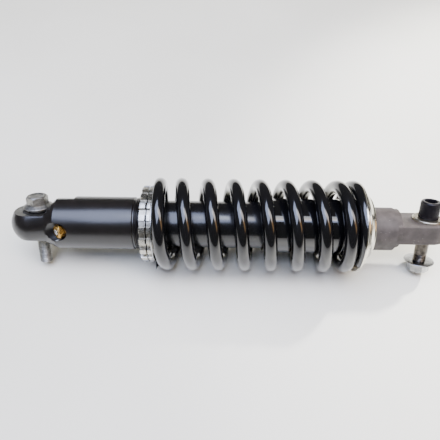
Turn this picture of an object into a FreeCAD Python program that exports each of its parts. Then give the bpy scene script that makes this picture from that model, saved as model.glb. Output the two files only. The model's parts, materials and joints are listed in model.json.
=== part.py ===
import FreeCAD, Part
import math
import os
import re

import Sketcher
from FreeCAD import Placement, Rotation, Vector

# Motorcycle rear shock absorber: monotube damper inside a coil spring.
#
# Every piece is drawn in the shock's own frame: X runs along the damper from the centre of the
# upper eye (0) to the lower eye, Z runs along both mounting bolts towards their heads, and Y
# completes the frame. laid() then puts that frame on a table: the spring and the corner of the
# lower nut rest on Z = 0, X is centred on the whole length and Y = 0 is the damper's axis.
# Lengths are millimetres, angles are degrees.

SIZES = [
    # overall
    ("bearing_gap", 0.05, "running clearance on the radius of turning and sliding fits"),
    # upper head and reservoir
    ("lug_radius", 20.7, "round upper lug"),
    ("lug_overhang", 25.7, "upper eye centre to the end of the dome"),
    ("lug_half_thickness", 12.25, "eye centre to each machined flat"),
    ("lug_length", 10.2, "eye centre to the start of the cone"),
    ("spot_face_radius", 18.8, "round end of the machined flats, about the bolt"),
    ("flat_margin", 6.0, "cut of those flats beyond the lug"),
    ("cone_end", 19.5, "end of the cone"),
    ("body_wall", 2.2, "body round the damper tube, at the thread"),
    ("thread_step", 0.5, "reservoir body above the crest of the thread"),
    ("gas_floor", 34.0, "blind end of the gas chamber"),
    ("tube_seat", 60.0, "step that the damper tube stands on"),
    ("thread_start", 90.5, "start of the preload thread"),
    ("body_end", 113.0, "open end of the body"),
    ("spanner_flat_length", 15.5, "flat on the shoulder, from the end of the cone"),
    ("spanner_flat_depth", 2.2, "depth of that flat"),
    ("spanner_flat_angle", 18.0, "its lean from the bolt's direction"),
    ("spanner_flat_lead", 8.0, "its cut begun before the end of the cone"),
    # gas valve
    ("valve_station", 22.5, "centre of the plug's face along the damper"),
    ("valve_out", 23.0, "centre of the plug's face out from the axis"),
    ("valve_tilt", 40.0, "lean of the port towards the upper eye"),
    ("valve_pocket_radius", 8.5, "counterbore round the plug"),
    ("valve_pocket_length", 20.0, "length of the counterbore's cut, out of the body"),
    ("valve_hex_width", 11.5, "plug, across flats"),
    ("valve_hex_height", 5.0, "plug's hexagon, from the counterbore's floor"),
    ("valve_stem_radius", 4.0, "plug's thread"),
    ("valve_stem_length", 7.0, "length of that thread"),
    ("valve_screw_radius", 2.6, "screw in the plug's centre"),
    ("valve_screw_stand", 0.6, "how far the screw stands proud"),
    ("valve_cord_radius", 0.6, "section of the plug's O-ring"),
    ("gas_drill_radius", 1.6, "drilling from the valve to the chamber"),
    # upper spherical bearing
    ("race_wall", 3.7, "outer race, from the ball's equator to the eye's bore"),
    ("race_lip", 3.0, "race's end bore below the ball's equator"),
    ("race_inset", 1.2, "outer race's faces inside the ball's"),
    ("ball_radius", 10.5, "spherical ball"),
    ("ball_cap", 3.3, "height of the caps cut off the ball"),
    ("circlip_thickness", 1.4, "bearing circlips"),
    ("circlip_groove", 1.0, "depth of their grooves"),
    ("circlip_width", 3.6, "their radial width"),
    ("seal_play", 1.8, "spacer's shank to the seal, room for the ball to tilt"),
    ("seal_gap", 1.5, "circlip to the bearing seal"),
    ("seal_recess", 0.35, "seal below the machined flat"),
    ("spacer_wall", 1.6, "bolt spacer through the seal, round the bolt"),
    ("spacer_shoulder", 13.2, "eye centre to the spacer's shoulder"),
    ("spacer_flange_width", 3.2, "spacer's flange beyond its shank"),
    ("spacer_end", 15.5, "eye centre to the spacer's outer face"),
    # bolts
    ("bolt_radius", 6.0, "M12 shanks"),
    ("bolt_thread_drop", 0.2, "crest of the upper bolt's thread below its plain shank"),
    ("bolt_thread_runout", 1.0, "plain shank below the lower spacer"),
    ("bolt_gap", 0.06, "clearance round the shanks"),
    ("tip_chamfer", 1.0, "chamfer of the bolt ends"),
    ("upper_flange_radius", 13.3, "flange of the upper bolt"),
    ("upper_flange_thickness", 2.6, "its thickness"),
    ("upper_hex_width", 17.0, "upper bolt, across flats"),
    ("upper_head_height", 11.0, "flange and hexagon together"),
    ("upper_bolt_reach", 41.8, "eye centre to the tip of the upper bolt"),
    ("lower_head_radius", 9.0, "cap screw head"),
    ("lower_head_height", 16.2, "cap screw head"),
    ("socket_width", 10.0, "hexagon socket, across flats"),
    ("socket_depth", 8.0, "depth of the socket"),
    ("washer_radius", 14.0, "lower washer"),
    ("washer_thickness", 2.4, "lower washer"),
    ("linkage_width", 24.3, "room for the linkage's eye between tongue and nut"),
    ("nut_height", 10.5, "nut with its flange"),
    ("nut_flange_radius", 13.9, "flange of the nut"),
    ("nut_flange_thickness", 2.4, "its thickness"),
    ("nut_width", 18.0, "nut, across flats"),
    ("hex_chamfer", 1.0, "corner chamfers of the hexagons, along the axis and across"),
    ("small_chamfer", 0.8, "broken edges of the turned pieces"),
    ("lower_tip_inset", 0.8, "bolt end inside the nut's face"),
    # spring and preload rings
    ("ring_inset", 1.3, "lock ring and adjuster ring, inside the middle of the wire"),
    ("ring_chamfer", 0.5, "edges of the lock ring and the seat's rim"),
    ("ring_slots", 20, "spanner slots round each ring"),
    ("ring_slot_width", 5.6, "width of a slot"),
    ("ring_slot_depth", 3.0, "depth of a slot"),
    ("lock_ring_start", 98.6, "upper face of the lock ring"),
    ("lock_ring_width", 5.8, "lock ring"),
    ("ring_split", 0.9, "gap between the rings"),
    ("adjuster_width", 3.6, "adjuster ring"),
    ("thrust_thickness", 1.3, "washer between the adjuster and the spring"),
    ("thrust_inset", 0.4, "that washer inside the rings' outside"),
    ("spigot_gap", 0.75, "spring's inside to the shoulders that centre it"),
    ("spigot_bevel", 1.0, "lead-in of those shoulders"),
    ("spigot_length", 4.5, "length of those shoulders"),
    ("coil_room", 9.05, "inside of the spring clear of the damper tube"),
    ("wire_diameter", 12.5, "spring wire"),
    ("coil_turns", 8.92, "turns of wire, tip to tip"),
    ("coil_phase", 246.5, "direction of the upper wire tip about the damper"),
    ("closed_gap", 0.5, "gap between the coils of the closed ends"),
    ("upper_closed_turns", 0.7, "turns at the closed pitch, upper end"),
    ("upper_opening_turns", 0.35, "turns over which the pitch opens, upper end"),
    ("lower_opening_turns", 0.6, "turns over which the pitch closes, lower end"),
    ("lower_closed_turns", 1.0, "turns at the closed pitch, lower end"),
    ("ground_tip", 2.8, "thickness of the ground wire tips"),
    # damper tube and seal head
    ("bore_radius", 18.0, "bore of the gas chamber and the tube"),
    ("tube_wall", 4.0, "damper tube"),
    ("tube_length", 166.5, "damper tube from its step"),
    ("head_recess", 4.0, "seal head below the tube's end"),
    ("seal_head_length", 18.0, "seal head"),
    ("head_cord_inset", 6.0, "O-ring groove from the head's inner face"),
    ("head_bore_gap", 0.5, "seal head's own bore on the rod"),
    ("head_clip_thickness", 1.8, "retaining ring of the seal head"),
    ("head_clip_groove", 1.2, "its groove"),
    ("head_clip_width", 3.4, "its radial width"),
    ("guide_wall", 1.5, "rod guide bush"),
    ("guide_length", 10.0, "rod guide bush"),
    ("guide_inset", 1.5, "bush from the inner face of the head"),
    ("rod_gap", 0.04, "clearance on the rod"),
    ("rod_seal_width", 4.0, "rod seal along the rod"),
    ("rod_seal_height", 4.0, "rod seal across"),
    ("wiper_width", 2.4, "dust wiper along the rod"),
    ("wiper_height", 3.2, "dust wiper across"),
    ("wiper_lip", 1.2, "wiper's lip, out of the head and across"),
    ("top_out_length", 6.0, "top-out bumper"),
    ("top_out_radius", 11.0, "top-out bumper"),
    # rod, piston and floating piston
    ("rod_radius", 7.0, "piston rod"),
    ("rod_shoulder", 198.3, "shoulder that the piston seats on"),
    ("rod_spigot_radius", 5.0, "threaded end through the piston"),
    ("shim_thickness", 1.2, "each shim stack"),
    ("rebound_shim_radius", 12.0, "stack on the rod side"),
    ("compression_shim_radius", 13.5, "stack on the nut side"),
    ("piston_length", 15.0, "main piston"),
    ("piston_gap", 0.3, "piston body to the bore"),
    ("rod_end_chamfer", 1.0, "rod's end in the lower mount"),
    ("band_thickness", 1.5, "wear bands"),
    ("band_width", 7.0, "wear bands"),
    ("piston_port_radius", 2.2, "oil ports through the piston"),
    ("piston_port_circle", 10.5, "radius that they lie on"),
    ("piston_port_count", 6, "oil ports"),
    ("piston_nut_width", 14.0, "rod nut, across flats"),
    ("piston_nut_height", 6.5, "rod nut"),
    ("rod_tip", 1.4, "rod end beyond its nut"),
    ("floater_room", 24.0, "tube's step to the gas side of the floating piston"),
    ("floater_length", 12.0, "floating piston"),
    ("floater_gap", 0.3, "floating piston to the bore"),
    ("floater_wall", 3.5, "its skirt"),
    ("cord_radius", 1.3, "section of the O-rings on the bore, before they are squeezed"),
    ("cord_squeeze", 0.8, "share of that section left when fitted"),
    ("cord_groove", 1.2, "half width of their grooves, in cord radii"),
    # lower seat, dust sleeve, bump stop and lower mount
    ("spring_length", 186.0, "spring between its two seats, shock extended"),
    ("seat_reach", 5.4, "lower spring seat, outside the middle of the wire"),
    ("seat_rim", 3.4, "thickness of its rim"),
    ("seat_step_drop", 5.7, "turned step behind the rim, below it"),
    ("seat_step_length", 2.8, "that step along the damper"),
    ("seat_cone_drop", 2.4, "start of the cone behind the step, below it"),
    ("seat_cone_length", 4.6, "that cone along the damper"),
    ("seat_hub_drop", 4.1, "hub of the seat, below the cone's start"),
    ("seat_hub_length", 1.5, "that hub along the damper"),
    ("sleeve_gap", 2.5, "damper tube to the dust sleeve"),
    ("sleeve_wall", 1.5, "dust sleeve"),
    ("sleeve_start", 210.0, "open end of the dust sleeve"),
    ("mount_spigot_radius", 12.0, "lower mount through the seat"),
    ("mount_spigot_length", 9.5, "the same, along the damper"),
    ("bump_length", 15.5, "bump stop"),
    ("bump_radius", 14.0, "bump stop"),
    ("bump_nose", 3.0, "taper of its nose"),
    ("bump_waist", 2.0, "depth of the bump stop's two waists"),
    ("bump_bore_gap", 0.2, "bump stop on the rod"),
    ("bump_cup_thickness", 1.5, "washer behind the bump stop"),
    ("bump_cup_rim", 1.5, "that washer beyond the bump stop"),
    ("rod_thread_length", 24.0, "rod inside the lower mount"),
    ("mount_radius", 20.4, "round base of the lower mount"),
    ("mount_drop", 2.0, "base off the damper's axis, towards the nut"),
    ("mount_base_length", 24.0, "round base"),
    ("mount_step_drop", 2.0, "shoulder between base and tongue, below the base"),
    ("mount_step_length", 4.5, "that shoulder along the damper"),
    ("tongue_length", 29.0, "shoulder to the lower eye's centre"),
    ("tongue_thickness", 18.4, "between the tongue's flats"),
    ("tongue_drop", 1.0, "tongue off the damper's axis, towards the nut"),
    ("tongue_end_radius", 18.0, "round end about the lower eye"),
    ("tongue_edge_radius", 1.6, "rounded edges of the tongue"),
    ("eye_bush_wall", 2.0, "steel bush in the lower eye"),
]

DERIVED = [
    # places that follow from the driving sizes
    ("adjuster_start", "lock_ring_start + lock_ring_width + ring_split"),
    ("thrust_start", "adjuster_start + adjuster_width"),
    ("spring_start", "thrust_start + thrust_thickness"),
    ("tube_radius", "bore_radius + tube_wall"),
    ("thread_radius", "tube_radius + body_wall"),
    ("body_radius", "thread_radius + thread_step"),
    ("coil_mean_radius", "tube_radius + coil_room + wire_diameter / 2"),
    ("closed_pitch", "wire_diameter + closed_gap"),
    ("ring_radius", "coil_mean_radius - ring_inset"),
    ("thrust_radius", "ring_radius - thrust_inset"),
    ("seat_radius", "coil_mean_radius + seat_reach"),
    ("seat_step_radius", "seat_radius - seat_step_drop"),
    ("seat_cone_radius", "seat_step_radius - seat_cone_drop"),
    ("seat_hub_radius", "seat_cone_radius - seat_hub_drop"),
    ("ball_half_width", "ball_radius - ball_cap"),
    ("race_half_width", "ball_half_width - race_inset"),
    ("seal_inset", "race_half_width + circlip_thickness + seal_gap"),
    ("eye_bore_radius", "ball_radius + race_wall"),
    ("bolt_bore_radius", "bolt_radius + bolt_gap"),
    ("bolt_thread_radius", "bolt_radius - bolt_thread_drop"),
    ("spacer_shank_radius", "bolt_radius + spacer_wall"),
    ("seal_bore_radius", "spacer_shank_radius + seal_play"),
    ("spacer_flange_radius", "spacer_shank_radius + spacer_flange_width"),
    ("spigot_radius", "coil_mean_radius - wire_diameter / 2 - spigot_gap"),
    ("seat_station", "spring_start + spring_length"),
    ("seat_rim_end", "seat_station + seat_rim"),
    ("seat_step_end", "seat_rim_end + seat_step_length"),
    ("seat_cone_end", "seat_step_end + seat_cone_length"),
    ("seat_end", "seat_cone_end + seat_hub_length"),
    ("sleeve_bore_radius", "tube_radius + sleeve_gap"),
    ("sleeve_radius", "sleeve_bore_radius + sleeve_wall"),
    ("mount_base_end", "seat_end + mount_base_length"),
    ("mount_step_end", "mount_base_end + mount_step_length"),
    ("mount_step_radius", "mount_radius - mount_step_drop"),
    ("eye_spacing", "mount_step_end + tongue_length"),
    ("tube_end", "tube_seat + tube_length"),
    ("head_end", "tube_end - head_recess"),
    ("head_start", "head_end - seal_head_length"),
    ("guide_radius", "rod_radius + guide_wall"),
    ("piston_start", "rod_shoulder - shim_thickness - piston_length"),
    ("piston_nut_start", "piston_start - shim_thickness - piston_nut_height"),
    ("rod_start", "piston_nut_start - rod_tip"),
    ("mount_spigot_start", "seat_end - mount_spigot_length"),
    ("bump_end", "mount_spigot_start - bump_cup_thickness"),
    ("bump_bore_radius", "rod_radius + bump_bore_gap"),
    ("bump_cup_radius", "bump_radius + bump_cup_rim"),
    ("bump_waist_radius", "bump_radius - bump_waist"),
    ("floater_start", "tube_seat + floater_room"),
    ("rod_bore_radius", "rod_radius + rod_gap"),
    ("cord_groove_radius", "bore_radius - 2 * cord_radius * cord_squeeze"),
    ("band_radius", "bore_radius - bearing_gap"),
    ("band_floor_radius", "band_radius - band_thickness"),
    ("rod_end", "mount_spigot_start + rod_thread_length"),
    ("tongue_top", "tongue_thickness / 2 - tongue_drop"),
    ("tongue_bottom", "-tongue_thickness / 2 - tongue_drop"),
    ("nut_top", "linkage_width - tongue_bottom"),
    ("nut_bottom", "nut_top + nut_height"),
    ("washer_top", "tongue_top + washer_thickness"),
    ("eye_bush_radius", "bolt_radius + eye_bush_wall"),
]

WORDS = {name for name, *_ in SIZES} | {name for name, _ in DERIVED}
HEX_CORNER = 2.0 / math.sqrt(3.0)
# how far a cut passes the face that it opens
OVERCUT = 1.0
OVER = " + %s" % OVERCUT
# distance within which an edge counts as lying in a plane
SAME = 0.01
# points along each turn of the spring's helix
COIL_STEPS_PER_TURN = 18
# the cone that takes the corners off a hexagon: its width in half widths, its depth in chamfers
CHAMFER_REACH = 1.2
CHAMFER_DEPTH = 1.4
# waists of the bump stop: shares of its length where each wave starts, narrows and ends
BUMP_WAVES = [(0.16, "bump_radius"), (0.34, "bump_radius"), (0.42, "bump_waist_radius"), (0.5, "bump_radius"),
              (0.68, "bump_radius"), (0.76, "bump_waist_radius"), (0.84, "bump_radius")]
PARTS_FOLDER = "parts"

doc = FreeCAD.newDocument("rear_shock_absorber")


# ---------------------------------------------------------------- sheet and expressions

def cells(text):
    """An expression with every size's name turned into its cell in the sheet."""
    return re.sub(r"[a-z_]+", lambda m: ("Sizes." if m.group() in WORDS else "") + m.group(), text)


def make_sheet():
    """The sheet of driving sizes, with the derived places below them."""
    sheet = doc.addObject("Spreadsheet::Sheet", "Sizes")
    for row, (name, value, meaning) in enumerate(SIZES, start=1):
        sheet.set("A%d" % row, name)
        sheet.set("B%d" % row, str(value))
        sheet.set("C%d" % row, meaning)
        sheet.setAlias("B%d" % row, name)
    for row, (name, formula) in enumerate(DERIVED, start=len(SIZES) + 1):
        sheet.set("A%d" % row, name)
        sheet.set("B%d" % row, "=" + formula)
        sheet.setAlias("B%d" % row, name)
    doc.recompute()
    return sheet


SHEET = make_sheet()


def size(name):
    """One size from the sheet, as a number."""
    return float(getattr(SHEET, name))


def number(text):
    """The present value of an expression in sizes."""
    return float(SHEET.evalExpression(cells(text)))


def table_roll():
    """Roll about the damper that lets the nut's edge touch the table, or point straight at it."""
    reach = size("nut_bottom")
    corner = size("nut_width") / 2
    share = min(1.0, axis_height() / math.hypot(reach, corner))
    return math.degrees(math.atan2(corner, reach) + math.acos(share))


def axis_height():
    """Damper axis above the table: the spring's outer radius."""
    return size("coil_mean_radius") + size("wire_diameter") / 2


def laid(station=0.0, rise=0.0):
    """The shock's frame on the table, moved along the damper and along the bolts."""
    middle = (size("eye_spacing") + size("tongue_end_radius") - size("lug_overhang")) / 2
    roll = Rotation(Vector(1, 0, 0), -table_roll())
    base = Vector(-middle, 0, axis_height()) + roll.multVec(Vector(station, 0, rise))
    return Placement(base, roll)


# ---------------------------------------------------------------- PartDesign helpers

def new_body(label):
    body = doc.addObject("PartDesign::Body", label)
    body.Label = label
    return body


def origin_feature(body, role):
    return next(item for item in body.Origin.OriginFeatures if item.Role == role)


def sketch_on(body, name, role="XZ_Plane", offset=None):
    """An empty sketch on one of the body's own origin planes."""
    sketch = body.newObject("Sketcher::SketchObject", body.Label + "_" + name)
    sketch.AttachmentSupport = (origin_feature(body, role), [""])
    sketch.MapMode = "FlatFace"
    if offset:
        sketch.AttachmentOffset = Placement(Vector(0, 0, number(offset)), Rotation())
        sketch.setExpression("AttachmentOffset.Base.z", cells(offset))
    return sketch


def bind(sketch, constraint, text):
    """Adds a distance constraint and binds it to an expression in sizes."""
    index = sketch.addConstraint(constraint)
    sketch.setExpression("Constraints[%d]" % index, cells(text))


def corner_at(sketch, line, across, up):
    """Fixes the start of a line at two expressions; a zero puts it on the sketch's own axis."""
    if across == "0":
        sketch.addConstraint(Sketcher.Constraint("PointOnObject", line, 1, -2))
    else:
        bind(sketch, Sketcher.Constraint("DistanceX", -1, 1, line, 1, number(across)), across)
    if up == "0":
        sketch.addConstraint(Sketcher.Constraint("PointOnObject", line, 1, -1))
    else:
        bind(sketch, Sketcher.Constraint("DistanceY", -1, 1, line, 1, number(up)), up)


def outline(body, name, corners, role="XZ_Plane", offset=None):
    """A closed outline of straight lines whose corners are pairs of expressions."""
    sketch = sketch_on(body, name, role, offset)
    points = [Vector(number(across), number(up), 0) for across, up in corners]
    count = len(points)
    for index in range(count):
        sketch.addGeometry(Part.LineSegment(points[index], points[(index + 1) % count]))
    for index in range(count):
        following = (index + 1) % count
        sketch.addConstraint(Sketcher.Constraint("Coincident", index, 2, following, 1))
    for index, (across, up) in enumerate(corners):
        corner_at(sketch, index, across, up)
    return sketch


def turned(body, name, corners, about="H_Axis", cut=False):
    """A closed outline turned about the damper (H_Axis) or about the bolt (V_Axis)."""
    kind = "PartDesign::Groove" if cut else "PartDesign::Revolution"
    sketch = outline(body, name + "_outline", corners)
    feature = body.newObject(kind, body.Label + "_" + name)
    feature.Profile = sketch
    feature.ReferenceAxis = (sketch, [about])
    feature.Angle = 360.0
    sketch.Visibility = False
    return feature


def ring_outline(start, end, inner, outer):
    """Corners of a plain ring's section."""
    return [(start, inner), (start, outer), (end, outer), (end, inner)]


def swap(corners):
    """Corners with their two expressions exchanged, for a section turned about the bolt."""
    return [(up, across) for across, up in corners]


def chamfered_ring(start, end, inner, outer, chamfer):
    """Corners of a ring whose two outer edges are chamfered."""
    edge = "%s - %s" % (outer, chamfer)
    return [
        (start, inner), (start, edge), ("%s + %s" % (start, chamfer), outer),
        ("%s - %s" % (end, chamfer), outer), (end, edge), (end, inner),
    ]


def primitive(body, kind, name, placement=None, **expressions):
    """A PartDesign primitive whose properties are bound to expressions."""
    feature = body.newObject("PartDesign::" + kind, body.Label + "_" + name)
    for attribute, text in expressions.items():
        setattr(feature, attribute, number(text))
        feature.setExpression(attribute, cells(text))
    if placement:
        feature.Placement = placement
    return feature


def upright(start):
    """A placement on the bolt's axis at an expression, its Z towards the bolt's head."""
    return Placement(Vector(0, 0, number(start)), Rotation())


def hexagon(body, kind, name, width, height, placement):
    """A hexagonal prism along the placement's Z."""
    feature = body.newObject("PartDesign::" + kind, body.Label + "_" + name)
    feature.Polygon = 6
    feature.Circumradius = number(width) / 2 * HEX_CORNER
    feature.setExpression("Circumradius", cells("%s / 2 * %.9f" % (width, HEX_CORNER)))
    feature.Height = number(height)
    feature.setExpression("Height", cells(height))
    feature.Placement = placement
    return feature


def corner_chamfer(body, name, width, face, towards):
    """Turns the corners off a hexagon at one face; towards is the way into the hexagon."""
    half = "%s / 2" % width
    outer = "%s / 2 * %s" % (width, CHAMFER_REACH)
    inward = "(%s) %s hex_chamfer * %s" % (face, towards, CHAMFER_DEPTH)
    return turned(body, name, [(half, face), (outer, face), (outer, inward)], "V_Axis", cut=True)


def mirrored(body, originals, role="XY_Plane"):
    """The same features again on the other side of an origin plane."""
    feature = body.newObject("PartDesign::Mirrored", body.Label + "_mirrored")
    feature.Originals = originals
    feature.MirrorPlane = (origin_feature(body, role), [""])
    body.Tip = feature
    return feature


def polar(body, original, count, axis_role="X_Axis"):
    """Repeats one feature round an axis."""
    feature = body.newObject("PartDesign::PolarPattern", body.Label + "_pattern")
    feature.Originals = [original]
    feature.Axis = (origin_feature(body, axis_role), [""])
    feature.Angle = 360.0
    feature.Occurrences = int(size(count))
    feature.setExpression("Occurrences", cells(count))
    body.Tip = feature
    return feature


def axial(station, beside=0.0, below=0.0):
    """A placement whose Z runs along the damper, beside its axis (-Y) or below it (-Z)."""
    return Placement(Vector(station, -beside, -below), Rotation(Vector(0, 1, 0), 90))


def plain_ring(label, start, end, inner, outer):
    """A ring on the damper's axis."""
    body = new_body(label)
    turned(body, "ring", ring_outline(start, end, inner, outer))
    return body


def bolt_pair(label, corners):
    """A ring about the bolt and its mirror image on the other side of the eye."""
    body = new_body(label)
    ring = turned(body, "ring", corners, "V_Axis")
    mirrored(body, [ring])
    return body


# ---------------------------------------------------------------- upper head and bearing

def in_valve(depth=0.0):
    """The valve's frame, so far below the plug's face; its Z points out of the port."""
    lean = math.radians(size("valve_tilt"))
    outwards = Vector(-math.sin(lean), -math.cos(lean), 0)
    face = Vector(size("valve_station"), -size("valve_out"), 0)
    return Placement(face - outwards * depth, Rotation(Vector(0, 0, 1), outwards))


def make_upper_body():
    """Domed lug, cone and threaded reservoir body in one piece of aluminium."""
    body = new_body("upper_body")
    dome = "lug_radius - lug_overhang"
    turned(body, "blank", [
        (dome, "0"), (dome, "lug_radius"), ("lug_length", "lug_radius"), ("cone_end", "body_radius"),
        ("thread_start", "body_radius"), ("thread_start", "thread_radius"),
        ("body_end", "thread_radius"), ("body_end", "tube_radius"), ("tube_seat", "tube_radius"),
        ("tube_seat", "bore_radius"), ("gas_floor", "bore_radius"), ("gas_floor", "0"),
    ])
    primitive(body, "AdditiveSphere", "dome", Placement(Vector(number(dome), 0, 0), Rotation()),
              Radius="lug_radius")
    cut_flats(body)
    cut_eye(body)
    cut_valve_port(body)
    cut_spanner_flat(body)
    return body


def cut_flats(body):
    """Both machined flats of the lug, with a round end about the bolt."""
    sketch = sketch_on(body, "flat_outline", "XY_Plane", "lug_half_thickness")
    radius = size("spot_face_radius")
    wide = number("spot_face_radius + flat_margin")
    back = -number("lug_overhang + flat_margin")
    sketch.addGeometry(Part.ArcOfCircle(
        Part.Circle(Vector(0, 0, 0), Vector(0, 0, 1), radius), -math.pi / 2, math.pi / 2))
    corners = [Vector(0, radius, 0), Vector(0, wide, 0), Vector(back, wide, 0),
               Vector(back, -wide, 0), Vector(0, -wide, 0), Vector(0, -radius, 0)]
    for first, second in zip(corners, corners[1:]):
        sketch.addGeometry(Part.LineSegment(first, second))
    sketch.addConstraint(Sketcher.Constraint("Coincident", 0, 3, -1, 1))
    bind(sketch, Sketcher.Constraint("Radius", 0, radius), "spot_face_radius")
    sketch.addConstraint(Sketcher.Constraint("PointOnObject", 0, 1, -2))
    sketch.addConstraint(Sketcher.Constraint("PointOnObject", 0, 2, -2))
    sketch.addConstraint(Sketcher.Constraint("Coincident", 0, 2, 1, 1))
    for line in range(1, 5):
        sketch.addConstraint(Sketcher.Constraint("Coincident", line, 2, line + 1, 1))
    sketch.addConstraint(Sketcher.Constraint("Coincident", 5, 2, 0, 1))
    for line in range(1, 6):
        sketch.addConstraint(Sketcher.Constraint("Vertical" if line % 2 else "Horizontal", line))
    bind(sketch, Sketcher.Constraint("DistanceX", -1, 1, 3, 1, back), "-(lug_overhang + flat_margin)")
    bind(sketch, Sketcher.Constraint("DistanceY", -1, 1, 3, 1, wide), "spot_face_radius + flat_margin")
    bind(sketch, Sketcher.Constraint("DistanceY", -1, 1, 3, 2, -wide), "-(spot_face_radius + flat_margin)")
    pocket = body.newObject("PartDesign::Pocket", "upper_body_flat")
    pocket.Profile = sketch
    pocket.Reversed = True
    pocket.Length = size("body_radius")
    pocket.setExpression("Length", cells("body_radius"))
    mirrored(body, [pocket])


def cut_eye(body):
    """Bore of the upper eye with a groove for each bearing circlip."""
    out = "lug_half_thickness" + OVER
    near = "race_half_width"
    far = "race_half_width + circlip_thickness"
    groove = "eye_bore_radius + circlip_groove"
    turned(body, "eye", [
        ("0", "-(%s)" % out), ("eye_bore_radius", "-(%s)" % out), ("eye_bore_radius", "-(%s)" % far),
        (groove, "-(%s)" % far), (groove, "-" + near), ("eye_bore_radius", "-" + near),
        ("eye_bore_radius", near), (groove, near), (groove, far), ("eye_bore_radius", far),
        ("eye_bore_radius", out), ("0", out),
    ], "V_Axis", cut=True)


def cut_valve_port(body):
    """Counterbore, thread and gas drilling of the fill valve."""
    floor = size("valve_hex_height")
    foot = floor + size("valve_stem_length")
    primitive(body, "SubtractiveCylinder", "pocket", in_valve(floor),
              Radius="valve_pocket_radius", Height="valve_pocket_length")
    seat = floor + 2 * size("valve_cord_radius")
    primitive(body, "SubtractiveCylinder", "cord_seat", in_valve(seat),
              Radius="valve_stem_radius + valve_cord_radius * 2", Height="valve_cord_radius * 2" + OVER)
    primitive(body, "SubtractiveCylinder", "port", in_valve(foot),
              Radius="valve_stem_radius", Height="valve_stem_length" + OVER)
    end = in_valve(foot).Base
    primitive(body, "SubtractiveCylinder", "drilling", axial(end.x, -end.y),
              Radius="gas_drill_radius", Height="gas_floor%s - %.6f" % (OVER, end.x))


def cut_spanner_flat(body):
    """Shallow flat on the shoulder for holding the body."""
    lean = Rotation(Vector(1, 0, 0), -size("spanner_flat_angle"))
    corner = lean.multVec(Vector(0, -size("body_radius"), number("body_radius - spanner_flat_depth")))
    base = Vector(number("cone_end - spanner_flat_lead"), 0, 0) + corner
    primitive(body, "SubtractiveBox", "spanner_flat", Placement(base, lean),
              Length="spanner_flat_length + spanner_flat_lead", Width="body_radius * 2",
              Height="spanner_flat_depth" + OVER)


def make_gas_valve_plug():
    """Brass hexagon plug with a screwed stem and a seat for the valve screw."""
    body = new_body("gas_valve_plug")
    floor = size("valve_hex_height")
    primitive(body, "AdditiveCylinder", "stem", in_valve(floor + size("valve_stem_length")),
              Radius="valve_stem_radius", Height="valve_stem_length")
    hexagon(body, "AdditivePrism", "hex", "valve_hex_width", "valve_hex_height", in_valve(floor))
    primitive(body, "SubtractiveCylinder", "seat", in_valve(floor), Radius="valve_screw_radius",
              Height="valve_hex_height" + OVER)
    return body


def make_gas_valve_o_ring():
    """O-ring under the plug's hexagon, sunk in the port's mouth."""
    body = new_body("gas_valve_o_ring")
    primitive(body, "AdditiveTorus", "cord", in_valve(number("valve_hex_height + valve_cord_radius")),
              Radius1="valve_stem_radius + valve_cord_radius", Radius2="valve_cord_radius")
    return body


def make_gas_valve_screw():
    """Screw in the middle of the plug, standing slightly proud."""
    body = new_body("gas_valve_screw")
    primitive(body, "AdditiveCylinder", "screw", in_valve(size("valve_hex_height")),
              Radius="valve_screw_radius", Height="valve_hex_height + valve_screw_stand")
    return body


def make_bearing_outer_race():
    """Outer race with a spherical bore."""
    body = new_body("bearing_outer_race")
    turned(body, "blank", swap(ring_outline("-race_half_width", "race_half_width", "ball_radius - race_lip",
                                            "eye_bore_radius")), "V_Axis")
    primitive(body, "SubtractiveSphere", "seat", Radius="ball_radius + bearing_gap")
    return body


def make_bearing_ball():
    """Ball cut flat on both sides and bored for the bolt."""
    body = new_body("bearing_ball")
    primitive(body, "AdditiveSphere", "ball", Radius="ball_radius")
    wide = -2 * size("ball_radius")
    for name, start in (("top", "ball_half_width"), ("bottom", "-ball_half_width - ball_radius")):
        corner = Vector(wide, wide, number(start))
        primitive(body, "SubtractiveBox", name, Placement(corner, Rotation()),
                  Length="ball_radius * 4", Width="ball_radius * 4", Height="ball_radius")
    primitive(body, "SubtractiveCylinder", "bore", Placement(Vector(0, 0, -size("ball_radius")), Rotation()),
              Radius="bolt_bore_radius", Height="ball_radius * 2")
    return body


def make_bearing_circlips():
    return bolt_pair("bearing_circlips", swap(ring_outline(
        "race_half_width", "race_half_width + circlip_thickness",
        "eye_bore_radius + circlip_groove - circlip_width", "eye_bore_radius + circlip_groove")))


def make_bearing_seals():
    return bolt_pair("bearing_seals", swap(ring_outline(
        "seal_inset", "lug_half_thickness - seal_recess", "seal_bore_radius", "eye_bore_radius")))


def make_bearing_spacers():
    """Flanged spacers that carry the bolt's clamp onto the ball."""
    return bolt_pair("bearing_spacers", [
        ("bolt_bore_radius", "ball_half_width"), ("spacer_shank_radius", "ball_half_width"),
        ("spacer_shank_radius", "spacer_shoulder"), ("spacer_flange_radius", "spacer_shoulder"),
        ("spacer_flange_radius", "spacer_end"), ("bolt_bore_radius", "spacer_end"),
    ])


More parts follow.
